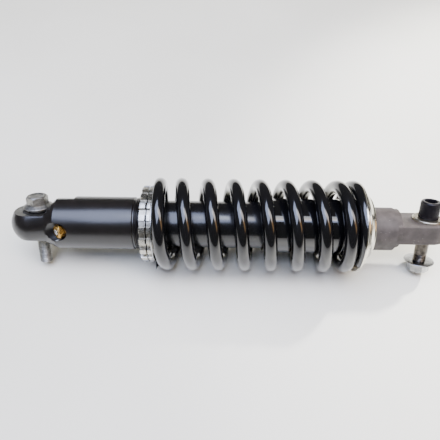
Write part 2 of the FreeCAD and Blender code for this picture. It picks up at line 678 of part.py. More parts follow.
def make_upper_bolt():
    """Flanged hexagon bolt through the upper eye."""
    body = new_body("upper_bolt")
    head = "spacer_end + upper_head_height"
    tip = "-upper_bolt_reach"
    thread = "-spacer_end - bolt_thread_runout"
    flange = "spacer_end + upper_flange_thickness"
    turned(body, "shank", [
        ("0", tip), ("bolt_thread_radius - tip_chamfer", tip), ("bolt_thread_radius", tip + " + tip_chamfer"),
        ("bolt_thread_radius", thread), ("bolt_radius", thread), ("bolt_radius", "spacer_end"),
        ("upper_flange_radius", "spacer_end"), ("upper_flange_radius", flange + " / 2"),
        ("upper_hex_width / 2", flange), ("0", flange),
    ], "V_Axis")
    hexagon(body, "AdditivePrism", "hex", "upper_hex_width", "upper_head_height - upper_flange_thickness / 2",
            upright(flange + " / 2"))
    corner_chamfer(body, "chamfer", "upper_hex_width", head, "-")
    return body


# ---------------------------------------------------------------- preload rings and spring

def slotted_ring(label, corners, start, width):
    """A ring on the thread with spanner slots cut into its rim."""
    body = new_body(label)
    turned(body, "blank", corners)
    rim = "ring_radius - ring_slot_depth"
    base = Vector(number(start) - OVERCUT, -size("ring_slot_width") / 2, number(rim))
    slot = primitive(body, "SubtractiveBox", "slot", Placement(base, Rotation()),
                     Length=width + OVER + OVER, Width="ring_slot_width", Height="ring_slot_depth" + OVER)
    polar(body, slot, "ring_slots")
    return body


def make_lock_ring():
    corners = chamfered_ring("lock_ring_start", "lock_ring_start + lock_ring_width",
                             "thread_radius + bearing_gap", "ring_radius", "ring_chamfer")
    return slotted_ring("lock_ring", corners, "lock_ring_start", "lock_ring_width")


def make_adjuster_ring():
    """Adjuster ring with a shoulder that centres the spring."""
    bore = "thread_radius + bearing_gap"
    spigot = "spring_start + spigot_length"
    corners = [
        ("adjuster_start", bore), ("adjuster_start", "ring_radius"), ("thrust_start", "ring_radius"),
        ("thrust_start", "spigot_radius"), (spigot + " - spigot_bevel", "spigot_radius"),
        (spigot, "spigot_radius - spigot_bevel"), (spigot, bore),
    ]
    return slotted_ring("adjuster_ring", corners, "adjuster_start", "adjuster_width")


def coil_rise(turn):
    """Height of the wire's middle above its first tip after so many turns.

    The pitch is the closed pitch at both ends and the open pitch between them, and it changes
    evenly with the turn in between, so the height is the sum of straight and square pieces.
    """
    wire = size("wire_diameter")
    closed = size("closed_pitch")
    turns = size("coil_turns")
    total = size("spring_length") + wire - 2 * size("ground_tip")
    first_closed = size("upper_closed_turns")
    first_ramp = size("upper_opening_turns")
    last_ramp = size("lower_opening_turns")
    last_closed = size("lower_closed_turns")
    ramps = first_ramp + last_ramp
    steady = turns - first_closed - last_closed - ramps
    opened = (total - closed * (first_closed + last_closed + ramps / 2)) / (steady + ramps / 2)
    spans = [(first_closed, closed, closed), (first_ramp, closed, opened), (steady, opened, opened),
             (last_ramp, opened, closed), (last_closed, closed, closed)]
    height = 0.0
    left = turn
    for length, pitch_in, pitch_out in spans:
        used = min(max(left, 0.0), length)
        height += used * pitch_in + used * used / (2 * length) * (pitch_out - pitch_in)
        left -= length
    return height


def make_coil_spring():
    """Round wire on a right-handed helix with closed ends, ground square on both seats."""
    wire_radius = size("wire_diameter") / 2
    mean = size("coil_mean_radius")
    start = size("spring_start")
    first = start - wire_radius + size("ground_tip")
    steps = int(round(size("coil_turns") * COIL_STEPS_PER_TURN))
    path = []
    for step in range(steps + 1):
        turn = step * size("coil_turns") / steps
        angle = math.radians(size("coil_phase") + 360 * turn)
        path.append(Vector(first + coil_rise(turn), mean * math.cos(angle), mean * math.sin(angle)))
    curve = Part.BSplineCurve()
    curve.interpolate(path)
    ahead = curve.tangent(curve.FirstParameter)[0]
    section = Part.Wire([Part.makeCircle(wire_radius, path[0], ahead)])
    wire = Part.Wire([curve.toShape()]).makePipeShell([section], True, True)
    reach = mean + wire_radius + OVERCUT
    band = Part.makeCylinder(reach, size("spring_length"), Vector(start, 0, 0), Vector(1, 0, 0))
    spring = doc.addObject("Part::Feature", "coil_spring")
    spring.Label = "coil_spring"
    spring.Shape = wire.common(band).Solids[0]
    return spring


# ---------------------------------------------------------------- damper tube and seal head

def make_damper_tube():
    """Steel tube with an internal groove for the seal head's retaining ring."""
    body = new_body("damper_tube")
    clip_end = "head_end + head_clip_thickness"
    groove = "bore_radius + head_clip_groove"
    turned(body, "tube", [
        ("tube_seat", "bore_radius"), ("tube_seat", "tube_radius"), ("tube_end - small_chamfer", "tube_radius"),
        ("tube_end", "tube_radius - small_chamfer"), ("tube_end", "bore_radius"), (clip_end, "bore_radius"),
        (clip_end, groove), ("head_end", groove), ("head_end", "bore_radius"),
    ])
    return body


def make_seal_head():
    """Seal head bored for the guide bush, the rod seal and the wiper."""
    body = new_body("seal_head")
    guide_in = "head_start + guide_inset"
    guide_out = guide_in + " + guide_length"
    seal_in = "head_end - wiper_width - rod_seal_width"
    wiper_in = "head_end - wiper_width"
    clear = "rod_radius + head_bore_gap"
    groove = "head_start + head_cord_inset"
    groove_end = groove + " + 2 * cord_radius * cord_groove"
    turned(body, "blank", [
        ("head_start", clear), ("head_start", "bore_radius"), (groove, "bore_radius"),
        (groove, "cord_groove_radius"), (groove_end, "cord_groove_radius"), (groove_end, "bore_radius"),
        ("head_end", "bore_radius"),
        ("head_end", "rod_radius + wiper_height"), (wiper_in, "rod_radius + wiper_height"),
        (wiper_in, "rod_radius + rod_seal_height"), (seal_in, "rod_radius + rod_seal_height"),
        (seal_in, clear), (guide_out, clear), (guide_out, "guide_radius"), (guide_in, "guide_radius"),
        (guide_in, clear),
    ])
    return body


def cord_ring(label, station, floor):
    """A squeezed O-ring lying on a groove's floor."""
    ring = doc.addObject("Part::Torus", label)
    ring.Label = label
    ring.setExpression("Radius1", cells("%s + cord_radius * cord_squeeze" % floor))
    ring.setExpression("Radius2", cells("cord_radius * cord_squeeze"))
    ring.Placement = laid().multiply(axial(number(station)))
    return ring


def make_seal_head_o_ring():
    middle = "head_start + head_cord_inset + cord_radius * cord_groove"
    return cord_ring("seal_head_o_ring", middle, "cord_groove_radius")


def make_rod_guide_bush():
    start = "head_start + guide_inset"
    return plain_ring("rod_guide_bush", start, start + " + guide_length", "rod_bore_radius", "guide_radius")


def make_rod_seal():
    end = "head_end - wiper_width"
    return plain_ring("rod_seal", end + " - rod_seal_width", end, "rod_bore_radius",
                      "rod_radius + rod_seal_height")


def make_rod_wiper():
    """Dust wiper with a lip that leans out along the rod."""
    body = new_body("rod_wiper")
    start = "head_end - wiper_width"
    turned(body, "ring", [
        (start, "rod_bore_radius"), (start, "rod_radius + wiper_height"),
        ("head_end", "rod_radius + wiper_height"), ("head_end + wiper_lip", "rod_radius + wiper_lip"),
        ("head_end + wiper_lip", "rod_bore_radius"),
    ])
    return body


def make_seal_head_clip():
    outer = "bore_radius + head_clip_groove"
    return plain_ring("seal_head_clip", "head_end", "head_end + head_clip_thickness",
                      outer + " - head_clip_width", outer)


def make_top_out_bumper():
    return plain_ring("top_out_bumper", "head_start - top_out_length", "head_start",
                      "rod_bore_radius", "top_out_radius")


# ---------------------------------------------------------------- floating piston

def make_floating_piston():
    """Cup that parts the gas from the oil, open towards the gas."""
    body = new_body("floating_piston")
    outer = "bore_radius - floater_gap"
    groove = "cord_groove_radius - bearing_gap"
    middle = "floater_start + floater_length / 2"
    half = "cord_radius * cord_groove"
    turned(body, "blank", [
        ("floater_start", outer + " - floater_wall"), ("floater_start", outer),
        (middle + " - " + half, outer), (middle + " - " + half, groove),
        (middle + " + " + half, groove), (middle + " + " + half, outer),
        ("floater_start + floater_length", outer), ("floater_start + floater_length", "0"),
        ("floater_start + floater_length - floater_wall", "0"),
        ("floater_start + floater_length - floater_wall", outer + " - floater_wall"),
    ])
    return body


def make_floating_piston_o_ring():
    return cord_ring("floating_piston_o_ring", "floater_start + floater_length / 2",
                     "cord_groove_radius - bearing_gap")


# ---------------------------------------------------------------- rod and main piston

def make_piston_rod():
    """Ground rod, stepped down for the piston and screwed into the lower mount."""
    body = new_body("piston_rod")
    turned(body, "rod", [
        ("rod_start", "0"), ("rod_start", "rod_spigot_radius - small_chamfer"),
        ("rod_start + small_chamfer", "rod_spigot_radius"),
        ("rod_shoulder", "rod_spigot_radius"), ("rod_shoulder", "rod_radius"),
        ("rod_end - rod_end_chamfer", "rod_radius"), ("rod_end", "rod_radius - rod_end_chamfer"),
        ("rod_end", "0"),
    ])
    return body


def make_piston():
    """Main piston with a groove for its wear band and a circle of oil ports."""
    body = new_body("main_piston")
    outer = "bore_radius - piston_gap"
    floor = "band_floor_radius"
    middle = "piston_start + piston_length / 2"
    end = "piston_start + piston_length"
    turned(body, "blank", [
        ("piston_start", "rod_spigot_radius"), ("piston_start", outer),
        (middle + " - band_width / 2", outer), (middle + " - band_width / 2", floor),
        (middle + " + band_width / 2", floor), (middle + " + band_width / 2", outer),
        (end, outer), (end, "rod_spigot_radius"),
    ])
    port = primitive(body, "SubtractiveCylinder", "port",
                     axial(size("piston_start") - OVERCUT, size("piston_port_circle")),
                     Radius="piston_port_radius", Height="piston_length" + OVER + OVER)
    polar(body, port, "piston_port_count")
    return body


def make_piston_band():
    middle = "piston_start + piston_length / 2"
    return plain_ring("piston_band", middle + " - band_width / 2", middle + " + band_width / 2",
                      "band_floor_radius", "band_radius")


def make_rebound_shims():
    return plain_ring("rebound_shims", "rod_shoulder - shim_thickness", "rod_shoulder",
                      "rod_spigot_radius", "rebound_shim_radius")


def make_compression_shims():
    return plain_ring("compression_shims", "piston_start - shim_thickness", "piston_start",
                      "rod_spigot_radius", "compression_shim_radius")


def make_piston_nut():
    """Hexagon nut that clamps the piston and its shims."""
    body = new_body("piston_nut")
    start = size("piston_nut_start")
    hexagon(body, "AdditivePrism", "hex", "piston_nut_width", "piston_nut_height", axial(start))
    primitive(body, "SubtractiveCylinder", "bore", axial(start - OVERCUT),
              Radius="rod_spigot_radius", Height="piston_nut_height" + OVER + OVER)
    return body


# ---------------------------------------------------------------- lower seat and bump stop

def make_bump_stop():
    """Progressive bump stop with two waists."""
    body = new_body("bump_stop")
    start = "bump_end - bump_length"
    corners = [(start, "bump_bore_radius"), (start, "bump_radius - bump_nose")]
    for share, radius in BUMP_WAVES:
        corners.append(("%s + bump_length * %s" % (start, share), radius))
    corners += [("bump_end", "bump_radius"), ("bump_end", "bump_bore_radius")]
    turned(body, "stop", corners)
    return body


def make_bump_stop_cup():
    return plain_ring("bump_stop_cup", "bump_end", "bump_end + bump_cup_thickness",
                      "bump_bore_radius", "bump_cup_radius")


def make_dust_sleeve():
    """Glossy sleeve over the tube's open end, held in the lower seat."""
    body = new_body("dust_sleeve")
    turned(body, "sleeve", [
        ("sleeve_start", "sleeve_bore_radius"), ("sleeve_start", "sleeve_radius - small_chamfer"),
        ("sleeve_start + small_chamfer", "sleeve_radius"), ("seat_station", "sleeve_radius"),
        ("seat_station", "sleeve_bore_radius"),
    ])
    return body


def make_lower_spring_seat():
    """Turned seat: spring shoulder, rim, step and hub."""
    body = new_body("lower_spring_seat")
    bore = "mount_spigot_radius + bearing_gap"
    cup_room = "bump_cup_radius + bump_bore_gap"
    shoulder = "seat_station - spigot_length"
    turned(body, "seat", [
        ("mount_spigot_start", bore), ("mount_spigot_start", cup_room), ("seat_station", cup_room),
        ("seat_station", "sleeve_radius"), (shoulder, "sleeve_radius"),
        (shoulder, "spigot_radius - spigot_bevel"), (shoulder + " + spigot_bevel", "spigot_radius"),
        ("seat_station", "spigot_radius"), ("seat_station", "seat_radius - ring_chamfer"),
        ("seat_station + ring_chamfer", "seat_radius"), ("seat_rim_end - small_chamfer", "seat_radius"),
        ("seat_rim_end", "seat_radius - small_chamfer"), ("seat_rim_end", "seat_step_radius"),
        ("seat_step_end - small_chamfer", "seat_step_radius"),
        ("seat_step_end", "seat_step_radius - small_chamfer"), ("seat_step_end", "seat_cone_radius"),
        ("seat_cone_end", "seat_hub_radius"), ("seat_end - small_chamfer", "seat_hub_radius"),
        ("seat_end", "seat_hub_radius - small_chamfer"), ("seat_end", bore),
    ])
    return body


# ---------------------------------------------------------------- lower mount and its bolt

def add_tongue(body):
    """Flat tongue with a round end about the lower eye and rounded edges."""
    sketch = sketch_on(body, "tongue_outline", "XY_Plane", "tongue_bottom")
    eye = size("eye_spacing")
    root = size("seat_end")
    radius = size("tongue_end_radius")
    sketch.addGeometry(Part.ArcOfCircle(
        Part.Circle(Vector(eye, 0, 0), Vector(0, 0, 1), radius), -math.pi / 2, math.pi / 2))
    corners = [Vector(eye, radius, 0), Vector(root, radius, 0),
               Vector(root, -radius, 0), Vector(eye, -radius, 0)]
    for first, second in zip(corners, corners[1:]):
        sketch.addGeometry(Part.LineSegment(first, second))
    sketch.addConstraint(Sketcher.Constraint("PointOnObject", 0, 3, -1))
    bind(sketch, Sketcher.Constraint("DistanceX", -1, 1, 0, 3, eye), "eye_spacing")
    bind(sketch, Sketcher.Constraint("Radius", 0, radius), "tongue_end_radius")
    sketch.addConstraint(Sketcher.Constraint("Tangent", 0, 2, 1, 1))
    sketch.addConstraint(Sketcher.Constraint("Coincident", 1, 2, 2, 1))
    sketch.addConstraint(Sketcher.Constraint("Coincident", 2, 2, 3, 1))
    sketch.addConstraint(Sketcher.Constraint("Tangent", 3, 2, 0, 1))
    for line, direction in ((1, "Horizontal"), (2, "Vertical"), (3, "Horizontal")):
        sketch.addConstraint(Sketcher.Constraint(direction, line))
    bind(sketch, Sketcher.Constraint("DistanceX", -1, 1, 1, 2, root), "seat_end")
    pad = body.newObject("PartDesign::Pad", "lower_mount_tongue")
    pad.Profile = sketch
    pad.Length = size("tongue_thickness")
    pad.setExpression("Length", cells("tongue_thickness"))
    doc.recompute()
    flats = (number("tongue_bottom"), number("tongue_top"))
    rims = [
        "Edge%d" % index for index, edge in enumerate(pad.Shape.Edges, start=1)
        if any(abs(edge.BoundBox.ZMin - z) < SAME and abs(edge.BoundBox.ZMax - z) < SAME for z in flats)
        and edge.BoundBox.XMax > root + OVERCUT
    ]
    rounding = body.newObject("PartDesign::Fillet", "lower_mount_rounding")
    rounding.Base = (pad, rims)
    rounding.Radius = size("tongue_edge_radius")
    rounding.setExpression("Radius", cells("tongue_edge_radius"))


def make_lower_mount():
    """Tongue, shoulder, round base and spigot, bored for the rod and the eye bush."""
    body = new_body("lower_mount")
    add_tongue(body)
    primitive(body, "AdditiveCylinder", "base", axial(size("seat_end"), 0, size("mount_drop")),
              Radius="mount_radius", Height="mount_base_end - seat_end")
    primitive(body, "AdditiveCylinder", "step", axial(size("seat_end"), 0, size("tongue_drop")),
              Radius="mount_step_radius", Height="mount_step_end - seat_end")
    primitive(body, "AdditiveCylinder", "spigot", axial(number("mount_spigot_start")),
              Radius="mount_spigot_radius", Height="mount_spigot_length")
    primitive(body, "SubtractiveCylinder", "rod_hole", axial(number("mount_spigot_start") - OVERCUT),
              Radius="rod_radius", Height="rod_thread_length" + OVER)
    eye = Placement(Vector(size("eye_spacing"), 0, number("tongue_bottom") - OVERCUT), Rotation())
    primitive(body, "SubtractiveCylinder", "eye_hole", eye, Radius="eye_bush_radius",
              Height="tongue_thickness" + OVER + OVER)
    return body


def make_lower_eye_bush():
    body = new_body("lower_eye_bush")
    turned(body, "bush", swap(ring_outline("tongue_bottom", "tongue_top", "bolt_bore_radius",
                                           "eye_bush_radius")), "V_Axis")
    return body


def make_lower_washer():
    """Thick washer under the cap screw, chamfered on its upper edge."""
    body = new_body("lower_washer")
    turned(body, "washer", [
        ("bolt_bore_radius", "tongue_top"), ("washer_radius", "tongue_top"),
        ("washer_radius", "washer_top - small_chamfer"), ("washer_radius - small_chamfer", "washer_top"),
        ("bolt_bore_radius", "washer_top"),
    ], "V_Axis")
    return body


def make_lower_bolt():
    """Socket head cap screw through the lower eye."""
    body = new_body("lower_bolt")
    top = "washer_top + lower_head_height"
    tip = "-nut_bottom + lower_tip_inset"
    turned(body, "screw", [
        ("0", tip), ("bolt_radius - tip_chamfer", tip), ("bolt_radius", tip + " + tip_chamfer"),
        ("bolt_radius", "washer_top"), ("lower_head_radius", "washer_top"),
        ("lower_head_radius", top + " - small_chamfer"), ("lower_head_radius - small_chamfer", top), ("0", top),
    ], "V_Axis")
    hexagon(body, "SubtractivePrism", "socket", "socket_width", "socket_depth" + OVER,
            upright(top + " - socket_depth"))
    return body


def make_lower_nut():
    """Flanged hexagon nut whose corner rests on the table."""
    body = new_body("lower_nut")
    flange_end = "-nut_top - nut_flange_thickness"
    turned(body, "flange", [
        ("0", "-nut_top"), ("nut_flange_radius", "-nut_top"),
        ("nut_flange_radius", "-nut_top - nut_flange_thickness / 2"),
        ("nut_width / 2", flange_end), ("0", flange_end),
    ], "V_Axis")
    hexagon(body, "AdditivePrism", "hex", "nut_width", "nut_height - nut_flange_thickness / 2",
            upright("-nut_bottom"))
    corner_chamfer(body, "chamfer", "nut_width", "-nut_bottom", "+")
    foot = Placement(Vector(0, 0, -size("nut_bottom") - OVERCUT), Rotation())
    primitive(body, "SubtractiveCylinder", "thread", foot,
              Radius="bolt_radius", Height="nut_height" + OVER + OVER)
    return body


# ---------------------------------------------------------------- assembly

ON_THE_DAMPER = [
    make_upper_body, make_gas_valve_plug, make_gas_valve_o_ring, make_gas_valve_screw, make_bearing_outer_race,
    make_bearing_ball, make_bearing_circlips, make_bearing_seals, make_bearing_spacers,
    make_upper_bolt, make_lock_ring, make_adjuster_ring, make_coil_spring, make_damper_tube,
    make_seal_head, make_rod_guide_bush, make_rod_seal, make_rod_wiper, make_seal_head_clip,
    make_top_out_bumper, make_floating_piston, make_piston_rod, make_piston, make_piston_band,
    make_rebound_shims, make_compression_shims, make_piston_nut, make_bump_stop, make_bump_stop_cup,
    make_dust_sleeve, make_lower_spring_seat, make_lower_mount,
]
AT_THE_LOWER_EYE = [make_lower_eye_bush, make_lower_washer, make_lower_bolt, make_lower_nut]
ALREADY_PLACED = [make_seal_head_o_ring, make_floating_piston_o_ring]


def make_thrust_washer():
    return plain_ring("thrust_washer", "thrust_start", "spring_start", "spigot_radius + bearing_gap",
                      "thrust_radius")


def build():
    """Makes every sub-part and puts it in its place."""
    parts = []
    for make in ON_THE_DAMPER + [make_thrust_washer]:
        part = make()
        part.Placement = laid()
        parts.append(part)
    for make in AT_THE_LOWER_EYE:
        part = make()
        part.Placement = laid(size("eye_spacing"))
        parts.append(part)
    for make in ALREADY_PLACED:
        parts.append(make())
    doc.recompute()
    return parts


def check(parts):
    """Stops if any object failed or any sub-part has no sound shape."""
    for item in doc.Objects:
        if "Invalid" in item.State or "Error" in item.State:
            raise RuntimeError("%s failed: %s" % (item.Label, item.State))
    for part in parts:
        if part.Shape.isNull() or not part.Shape.isValid() or not part.Shape.Solids:
            raise RuntimeError("%s has no valid solid" % part.Label)


def write(parts):
    """Writes each sub-part to a STEP file named by its label."""
    os.makedirs(PARTS_FOLDER, exist_ok=True)
    for part in parts:
        part.Shape.exportStep(os.path.join(PARTS_FOLDER, part.Label + ".step"))
        print("%-24s %10.1f mm3  %d solid(s)" % (part.Label, part.Shape.Volume, len(part.Shape.Solids)))
    print("roll on the table %.3f deg, axis height %.3f mm" % (table_roll(), axis_height()))


PARTS = build()
check(PARTS)
write(PARTS)
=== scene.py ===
"""Looks of a motorcycle rear shock absorber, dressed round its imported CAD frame.

Lengths are written in millimetres and put into the meshes in metres. Every piece lies in one of
four seats: along the damper, along the upper bolt, along the lower bolt or along the gas port.
"""

import json
import logging
import math
from dataclasses import dataclass
from enum import Enum
from typing import Callable, Optional, Sequence

import bmesh
import bpy
import numpy as np
from mathutils import Matrix, Vector


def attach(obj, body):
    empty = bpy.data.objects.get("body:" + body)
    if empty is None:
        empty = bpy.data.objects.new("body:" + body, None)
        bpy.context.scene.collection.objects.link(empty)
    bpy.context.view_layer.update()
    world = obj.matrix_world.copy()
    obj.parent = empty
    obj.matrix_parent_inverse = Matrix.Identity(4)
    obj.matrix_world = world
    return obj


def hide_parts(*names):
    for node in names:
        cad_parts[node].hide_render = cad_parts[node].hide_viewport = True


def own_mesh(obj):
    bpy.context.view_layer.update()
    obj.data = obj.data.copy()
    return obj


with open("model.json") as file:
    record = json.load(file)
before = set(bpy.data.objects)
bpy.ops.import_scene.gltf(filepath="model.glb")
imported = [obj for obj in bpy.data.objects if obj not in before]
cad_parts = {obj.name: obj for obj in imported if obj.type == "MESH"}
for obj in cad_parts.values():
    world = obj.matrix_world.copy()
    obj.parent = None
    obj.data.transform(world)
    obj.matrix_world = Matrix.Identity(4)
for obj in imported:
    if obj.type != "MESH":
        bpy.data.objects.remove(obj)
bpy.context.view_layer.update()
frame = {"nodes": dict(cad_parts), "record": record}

MM = 0.001  # a millimetre in metres
TURN = 2.0 * math.pi
LOG = logging.getLogger("shock_absorber")

HEX_CORNER = 1.155  # a hexagon's corner radius over its flat's
COLUMNS = 224  # columns of a plain turned piece

Array = np.ndarray
Piece = bpy.types.Object
Tree = bpy.types.NodeTree
Socket = bpy.types.NodeSocket
Shape = Callable[[Array, Array, Array], tuple]


class Body(Enum):
    """The CAD bodies that new pieces ride on."""

    DAMPER = "damper_body"
    UPPER_BALL = "upper_ball"
    UPPER_BOLT = "upper_bolt_body"
    PRELOAD = "preload_stack"
    ADJUSTER = "adjuster"
    LOCK = "lock"
    SEAT = "lower_seat"
    ROD = "damper_rod"
    LOWER_BOLT = "lower_bolt_body"


# ------------------------------------------------------------------ seats and measures


@dataclass(frozen=True)
class Seat:
    """A place to turn things in: an origin, the direction along the work and two square to it."""

    origin: Array
    along: Array
    side: Array

    @property
    def up(self) -> Array:
        """The third direction."""
        return np.cross(self.along, self.side)

    def place(self, along: Array, side: Array, up: Array) -> Array:
        """Points in metres from three arrays of millimetres: origin + along·a + side·s + up·u.

        Args:
            along: distances along the work.
            side: distances to the side.
            up: distances in the third direction.

        Returns:
            An array of the inputs' shape with a last axis of three.
        """
        stack = np.stack(np.broadcast_arrays(along, side, up), axis=-1)
        return self.origin + stack @ np.array([self.along, self.side, self.up]) * MM

    def read(self, points: Array) -> Array:
        """The opposite of place: millimetres along, to the side and up for points in metres."""
        return (points - self.origin) @ np.array([self.along, self.side, self.up]).T / MM


@dataclass(frozen=True)
class Span:
    """How far a CAD node reaches in a seat, in millimetres."""

    low: float
    high: float
    inner: float
    outer: float


def joint_place(name: str) -> tuple:
    """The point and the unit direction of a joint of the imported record.

    Args:
        name: the joint.

    Returns:
        The point in metres, and the direction.
    """
    joint = next(item for item in frame["record"]["behaviour"]["joints"] if item["name"] == name)
    axis = np.array(joint["axis"], float)
    return np.array(joint["pos_m"], float), axis / np.linalg.norm(axis)


def node_points(node: str) -> Array:
    """The vertices of a CAD node as an array of points in metres.

    Args:
        node: the CAD node.

    Returns:
        An (n, 3) array.
    """
    mesh = frame["nodes"][node].data
    flat = np.zeros(len(mesh.vertices) * 3)
    mesh.vertices.foreach_get("co", flat)
    return flat.reshape(-1, 3)


def measure(node: str, seat: Seat) -> Span:
    """Reads a CAD node's reach along a seat and its radii about it.

    Args:
        node: the CAD node.
        seat: the seat it is turned in.

    Returns:
        Its span, in millimetres.
    """
    local = seat.read(node_points(node))
    radius = np.hypot(local[:, 1], local[:, 2])
    return Span(local[:, 0].min(), local[:, 0].max(), radius.min(), radius.max())


UPPER_EYE, BOLT_WAY = joint_place("upper_bolt_turn")
LOWER_EYE, _ = joint_place("lower_bolt_turn")
DAMPER_WAY = np.array([1.0, 0.0, 0.0])
BACK_WAY = np.cross(BOLT_WAY, DAMPER_WAY)
DAMPER = Seat(UPPER_EYE, DAMPER_WAY, BACK_WAY)
UPPER_BOLT = Seat(UPPER_EYE, BOLT_WAY, DAMPER_WAY)
LOWER_BOLT = Seat(LOWER_EYE, BOLT_WAY, DAMPER_WAY)


# ------------------------------------------------------------------ meshes


def add_piece(name: str, points: Array, quads: Array, sharp_deg: float = 32.0) -> Piece:
    """Makes a closed piece from points and quads, merges its poles and turns its faces outwards.

    Args:
        name: the piece's name.
        points: an (n, 3) array in metres.
        quads: an (m, 4) array of indices.
        sharp_deg: edges that bend more than this stay sharp.

    Returns:
        The new object, at the origin.
    """
    mesh = bpy.data.meshes.new(name)
    mesh.from_pydata(points.tolist(), [], quads.tolist())
    work = bmesh.new()
    work.from_mesh(mesh)
    bmesh.ops.remove_doubles(work, verts=work.verts, dist=2e-7)
    bmesh.ops.dissolve_degenerate(work, edges=work.edges, dist=1e-7)
    bmesh.ops.recalc_face_normals(work, faces=work.faces)
    work.to_mesh(mesh)
    work.free()
    mesh.shade_smooth()
    mesh.set_sharp_from_angle(angle=math.radians(sharp_deg))
    piece = bpy.data.objects.new(name, mesh)
    bpy.context.scene.collection.objects.link(piece)
    return piece


def grid_quads(rows: int, columns: int, wrap_rows: bool) -> Array:
    """Quads of a grid whose columns wrap round, and whose rows may: each joins (i, j) to its next.

    Args:
        rows: the number of rows.
        columns: the number of columns.
        wrap_rows: whether the last row joins the first.

    Returns:
        An (n, 4) array of indices.
    """
    i = np.arange(rows if wrap_rows else rows - 1)[:, None]
    j = np.arange(columns)[None, :]
    i_next, j_next = (i + 1) % rows, (j + 1) % columns
    corners = [i * columns + j, i * columns + j_next, i_next * columns + j_next, i_next * columns + j]
    return np.stack(np.broadcast_arrays(*corners), axis=-1).reshape(-1, 4)


def soften(corners: Sequence[Sequence[float]], steps: int = 4) -> Array:
    """Rounds the corners of a closed outline.

    Each corner P with rounding c becomes a parabola from P + c·(towards the last corner) to
    P + c·(towards the next), with P as its control point; c is held to 0.45 of either side.

    Args:
        corners: rows of (along, radius, rounding).
        steps: points per rounded corner.

    Returns:
        An (n, 2) outline.
    """
    data = np.array([tuple(row) + (0.0,) * (3 - len(row)) for row in corners], float)
    here = data[:, :2]
    before, after = np.roll(here, 1, axis=0) - here, np.roll(here, -1, axis=0) - here
    reach_before = np.linalg.norm(before, axis=1, keepdims=True) + 1e-12
    reach_after = np.linalg.norm(after, axis=1, keepdims=True) + 1e-12
    cut = np.minimum(data[:, 2:3], 0.45 * np.minimum(reach_before, reach_after))
    start, end = here + before / reach_before * cut, here + after / reach_after * cut
    t = np.linspace(0.0, 1.0, steps)[None, :, None]
    curve = start[:, None] * (1 - t) ** 2 + 2 * here[:, None] * t * (1 - t) + end[:, None] * t**2
    flat = curve.reshape(-1, 2)
    return flat[np.linalg.norm(flat - np.roll(flat, 1, axis=0), axis=1) > 1e-6]


def subdivide(outline: Array, step: float, low: float, high: float) -> Array:
    """Adds points to an outline's sides between two stations, so that none there is longer than step.

    Args:
        outline: an (n, 2) array of (along, radius).
        step: the longest side allowed.
        low: the first station.
        high: the last station.

    Returns:
        The longer outline.
    """
    ends = np.roll(outline, -1, axis=0)
    inside = (np.minimum(outline[:, 0], ends[:, 0]) < high) & (np.maximum(outline[:, 0], ends[:, 0]) > low)
    length = np.linalg.norm(ends - outline, axis=1)
    counts = np.where(inside, np.maximum(1, np.ceil(length / step)), 1).astype(int)
    pieces = [a + (b - a) * (np.arange(n)[:, None] / n) for a, b, n in zip(outline, ends, counts)]
    return np.concatenate(pieces)


def lathe(
    name: str,
    seat: Seat,
    outline: Array,
    thetas: Optional[Array] = None,
    shape: Optional[Shape] = None,
) -> Piece:
    """Turns a closed outline about a seat: (a, r) goes to a along it and r·(cos θ, sin θ) across.

    Args:
        name: the piece's name.
        seat: the seat it is turned in.
        outline: an (n, 2) array of (along, radius).
        thetas: the angles of the columns, or None for an even COLUMNS.
        shape: an optional function of (along, radius, theta) arrays that returns new (along, radius).

    Returns:
        The new piece.
    """
    theta = np.linspace(0, TURN, COLUMNS, endpoint=False) if thetas is None else thetas
    along, around = np.meshgrid(outline[:, 0], theta, indexing="ij")
    radius = np.repeat(outline[:, 1:2], len(theta), axis=1)
    if shape is not None:
        along, radius = shape(along, radius, around)
    points = seat.place(along, radius * np.cos(around), radius * np.sin(around))
    open_axis = outline[0, 1] < 1e-6 and outline[-1, 1] < 1e-6
    quads = grid_quads(len(outline), len(theta), not open_axis)
    return add_piece(name, points.reshape(-1, 3), quads)


def from_flat(theta: Array) -> Array:
    """The angle from the middle of a hexagon's nearest flat."""
    return (theta + math.pi / 6) % (math.pi / 3) - math.pi / 6


def hexagon(across: float, low: float, high: float, fillet: float = 0.06) -> Shape:
    """A shape that limits the radius between two stations to a hexagon.

    The hexagon's radius is (across / 2) / cos(φ), with φ the angle from the nearest flat's middle;
    a smooth minimum of width fillet joins it to the turned radius.

    Args:
        across: the width across the flats.
        low: the first station.
        high: the last station.
        fillet: the half width of the smooth minimum.

    Returns:
        The shape.
    """

    def limited(along: Array, radius: Array, theta: Array) -> tuple:
        """The new stations and radii.

        Args:
            along: the stations.
            radius: the radii.
            theta: the angles.

        Returns:
            The stations and the radii.
        """
        flat = across / 2 / np.cos(from_flat(theta))
        inside = (along >= low) & (along <= high)
        blend = np.clip(0.5 + (radius - flat) / (2 * fillet), 0, 1)
        joined = radius + (flat - radius) * blend - fillet * blend * (1 - blend)
        return along, np.where(inside, np.minimum(joined, radius), radius)

    return limited


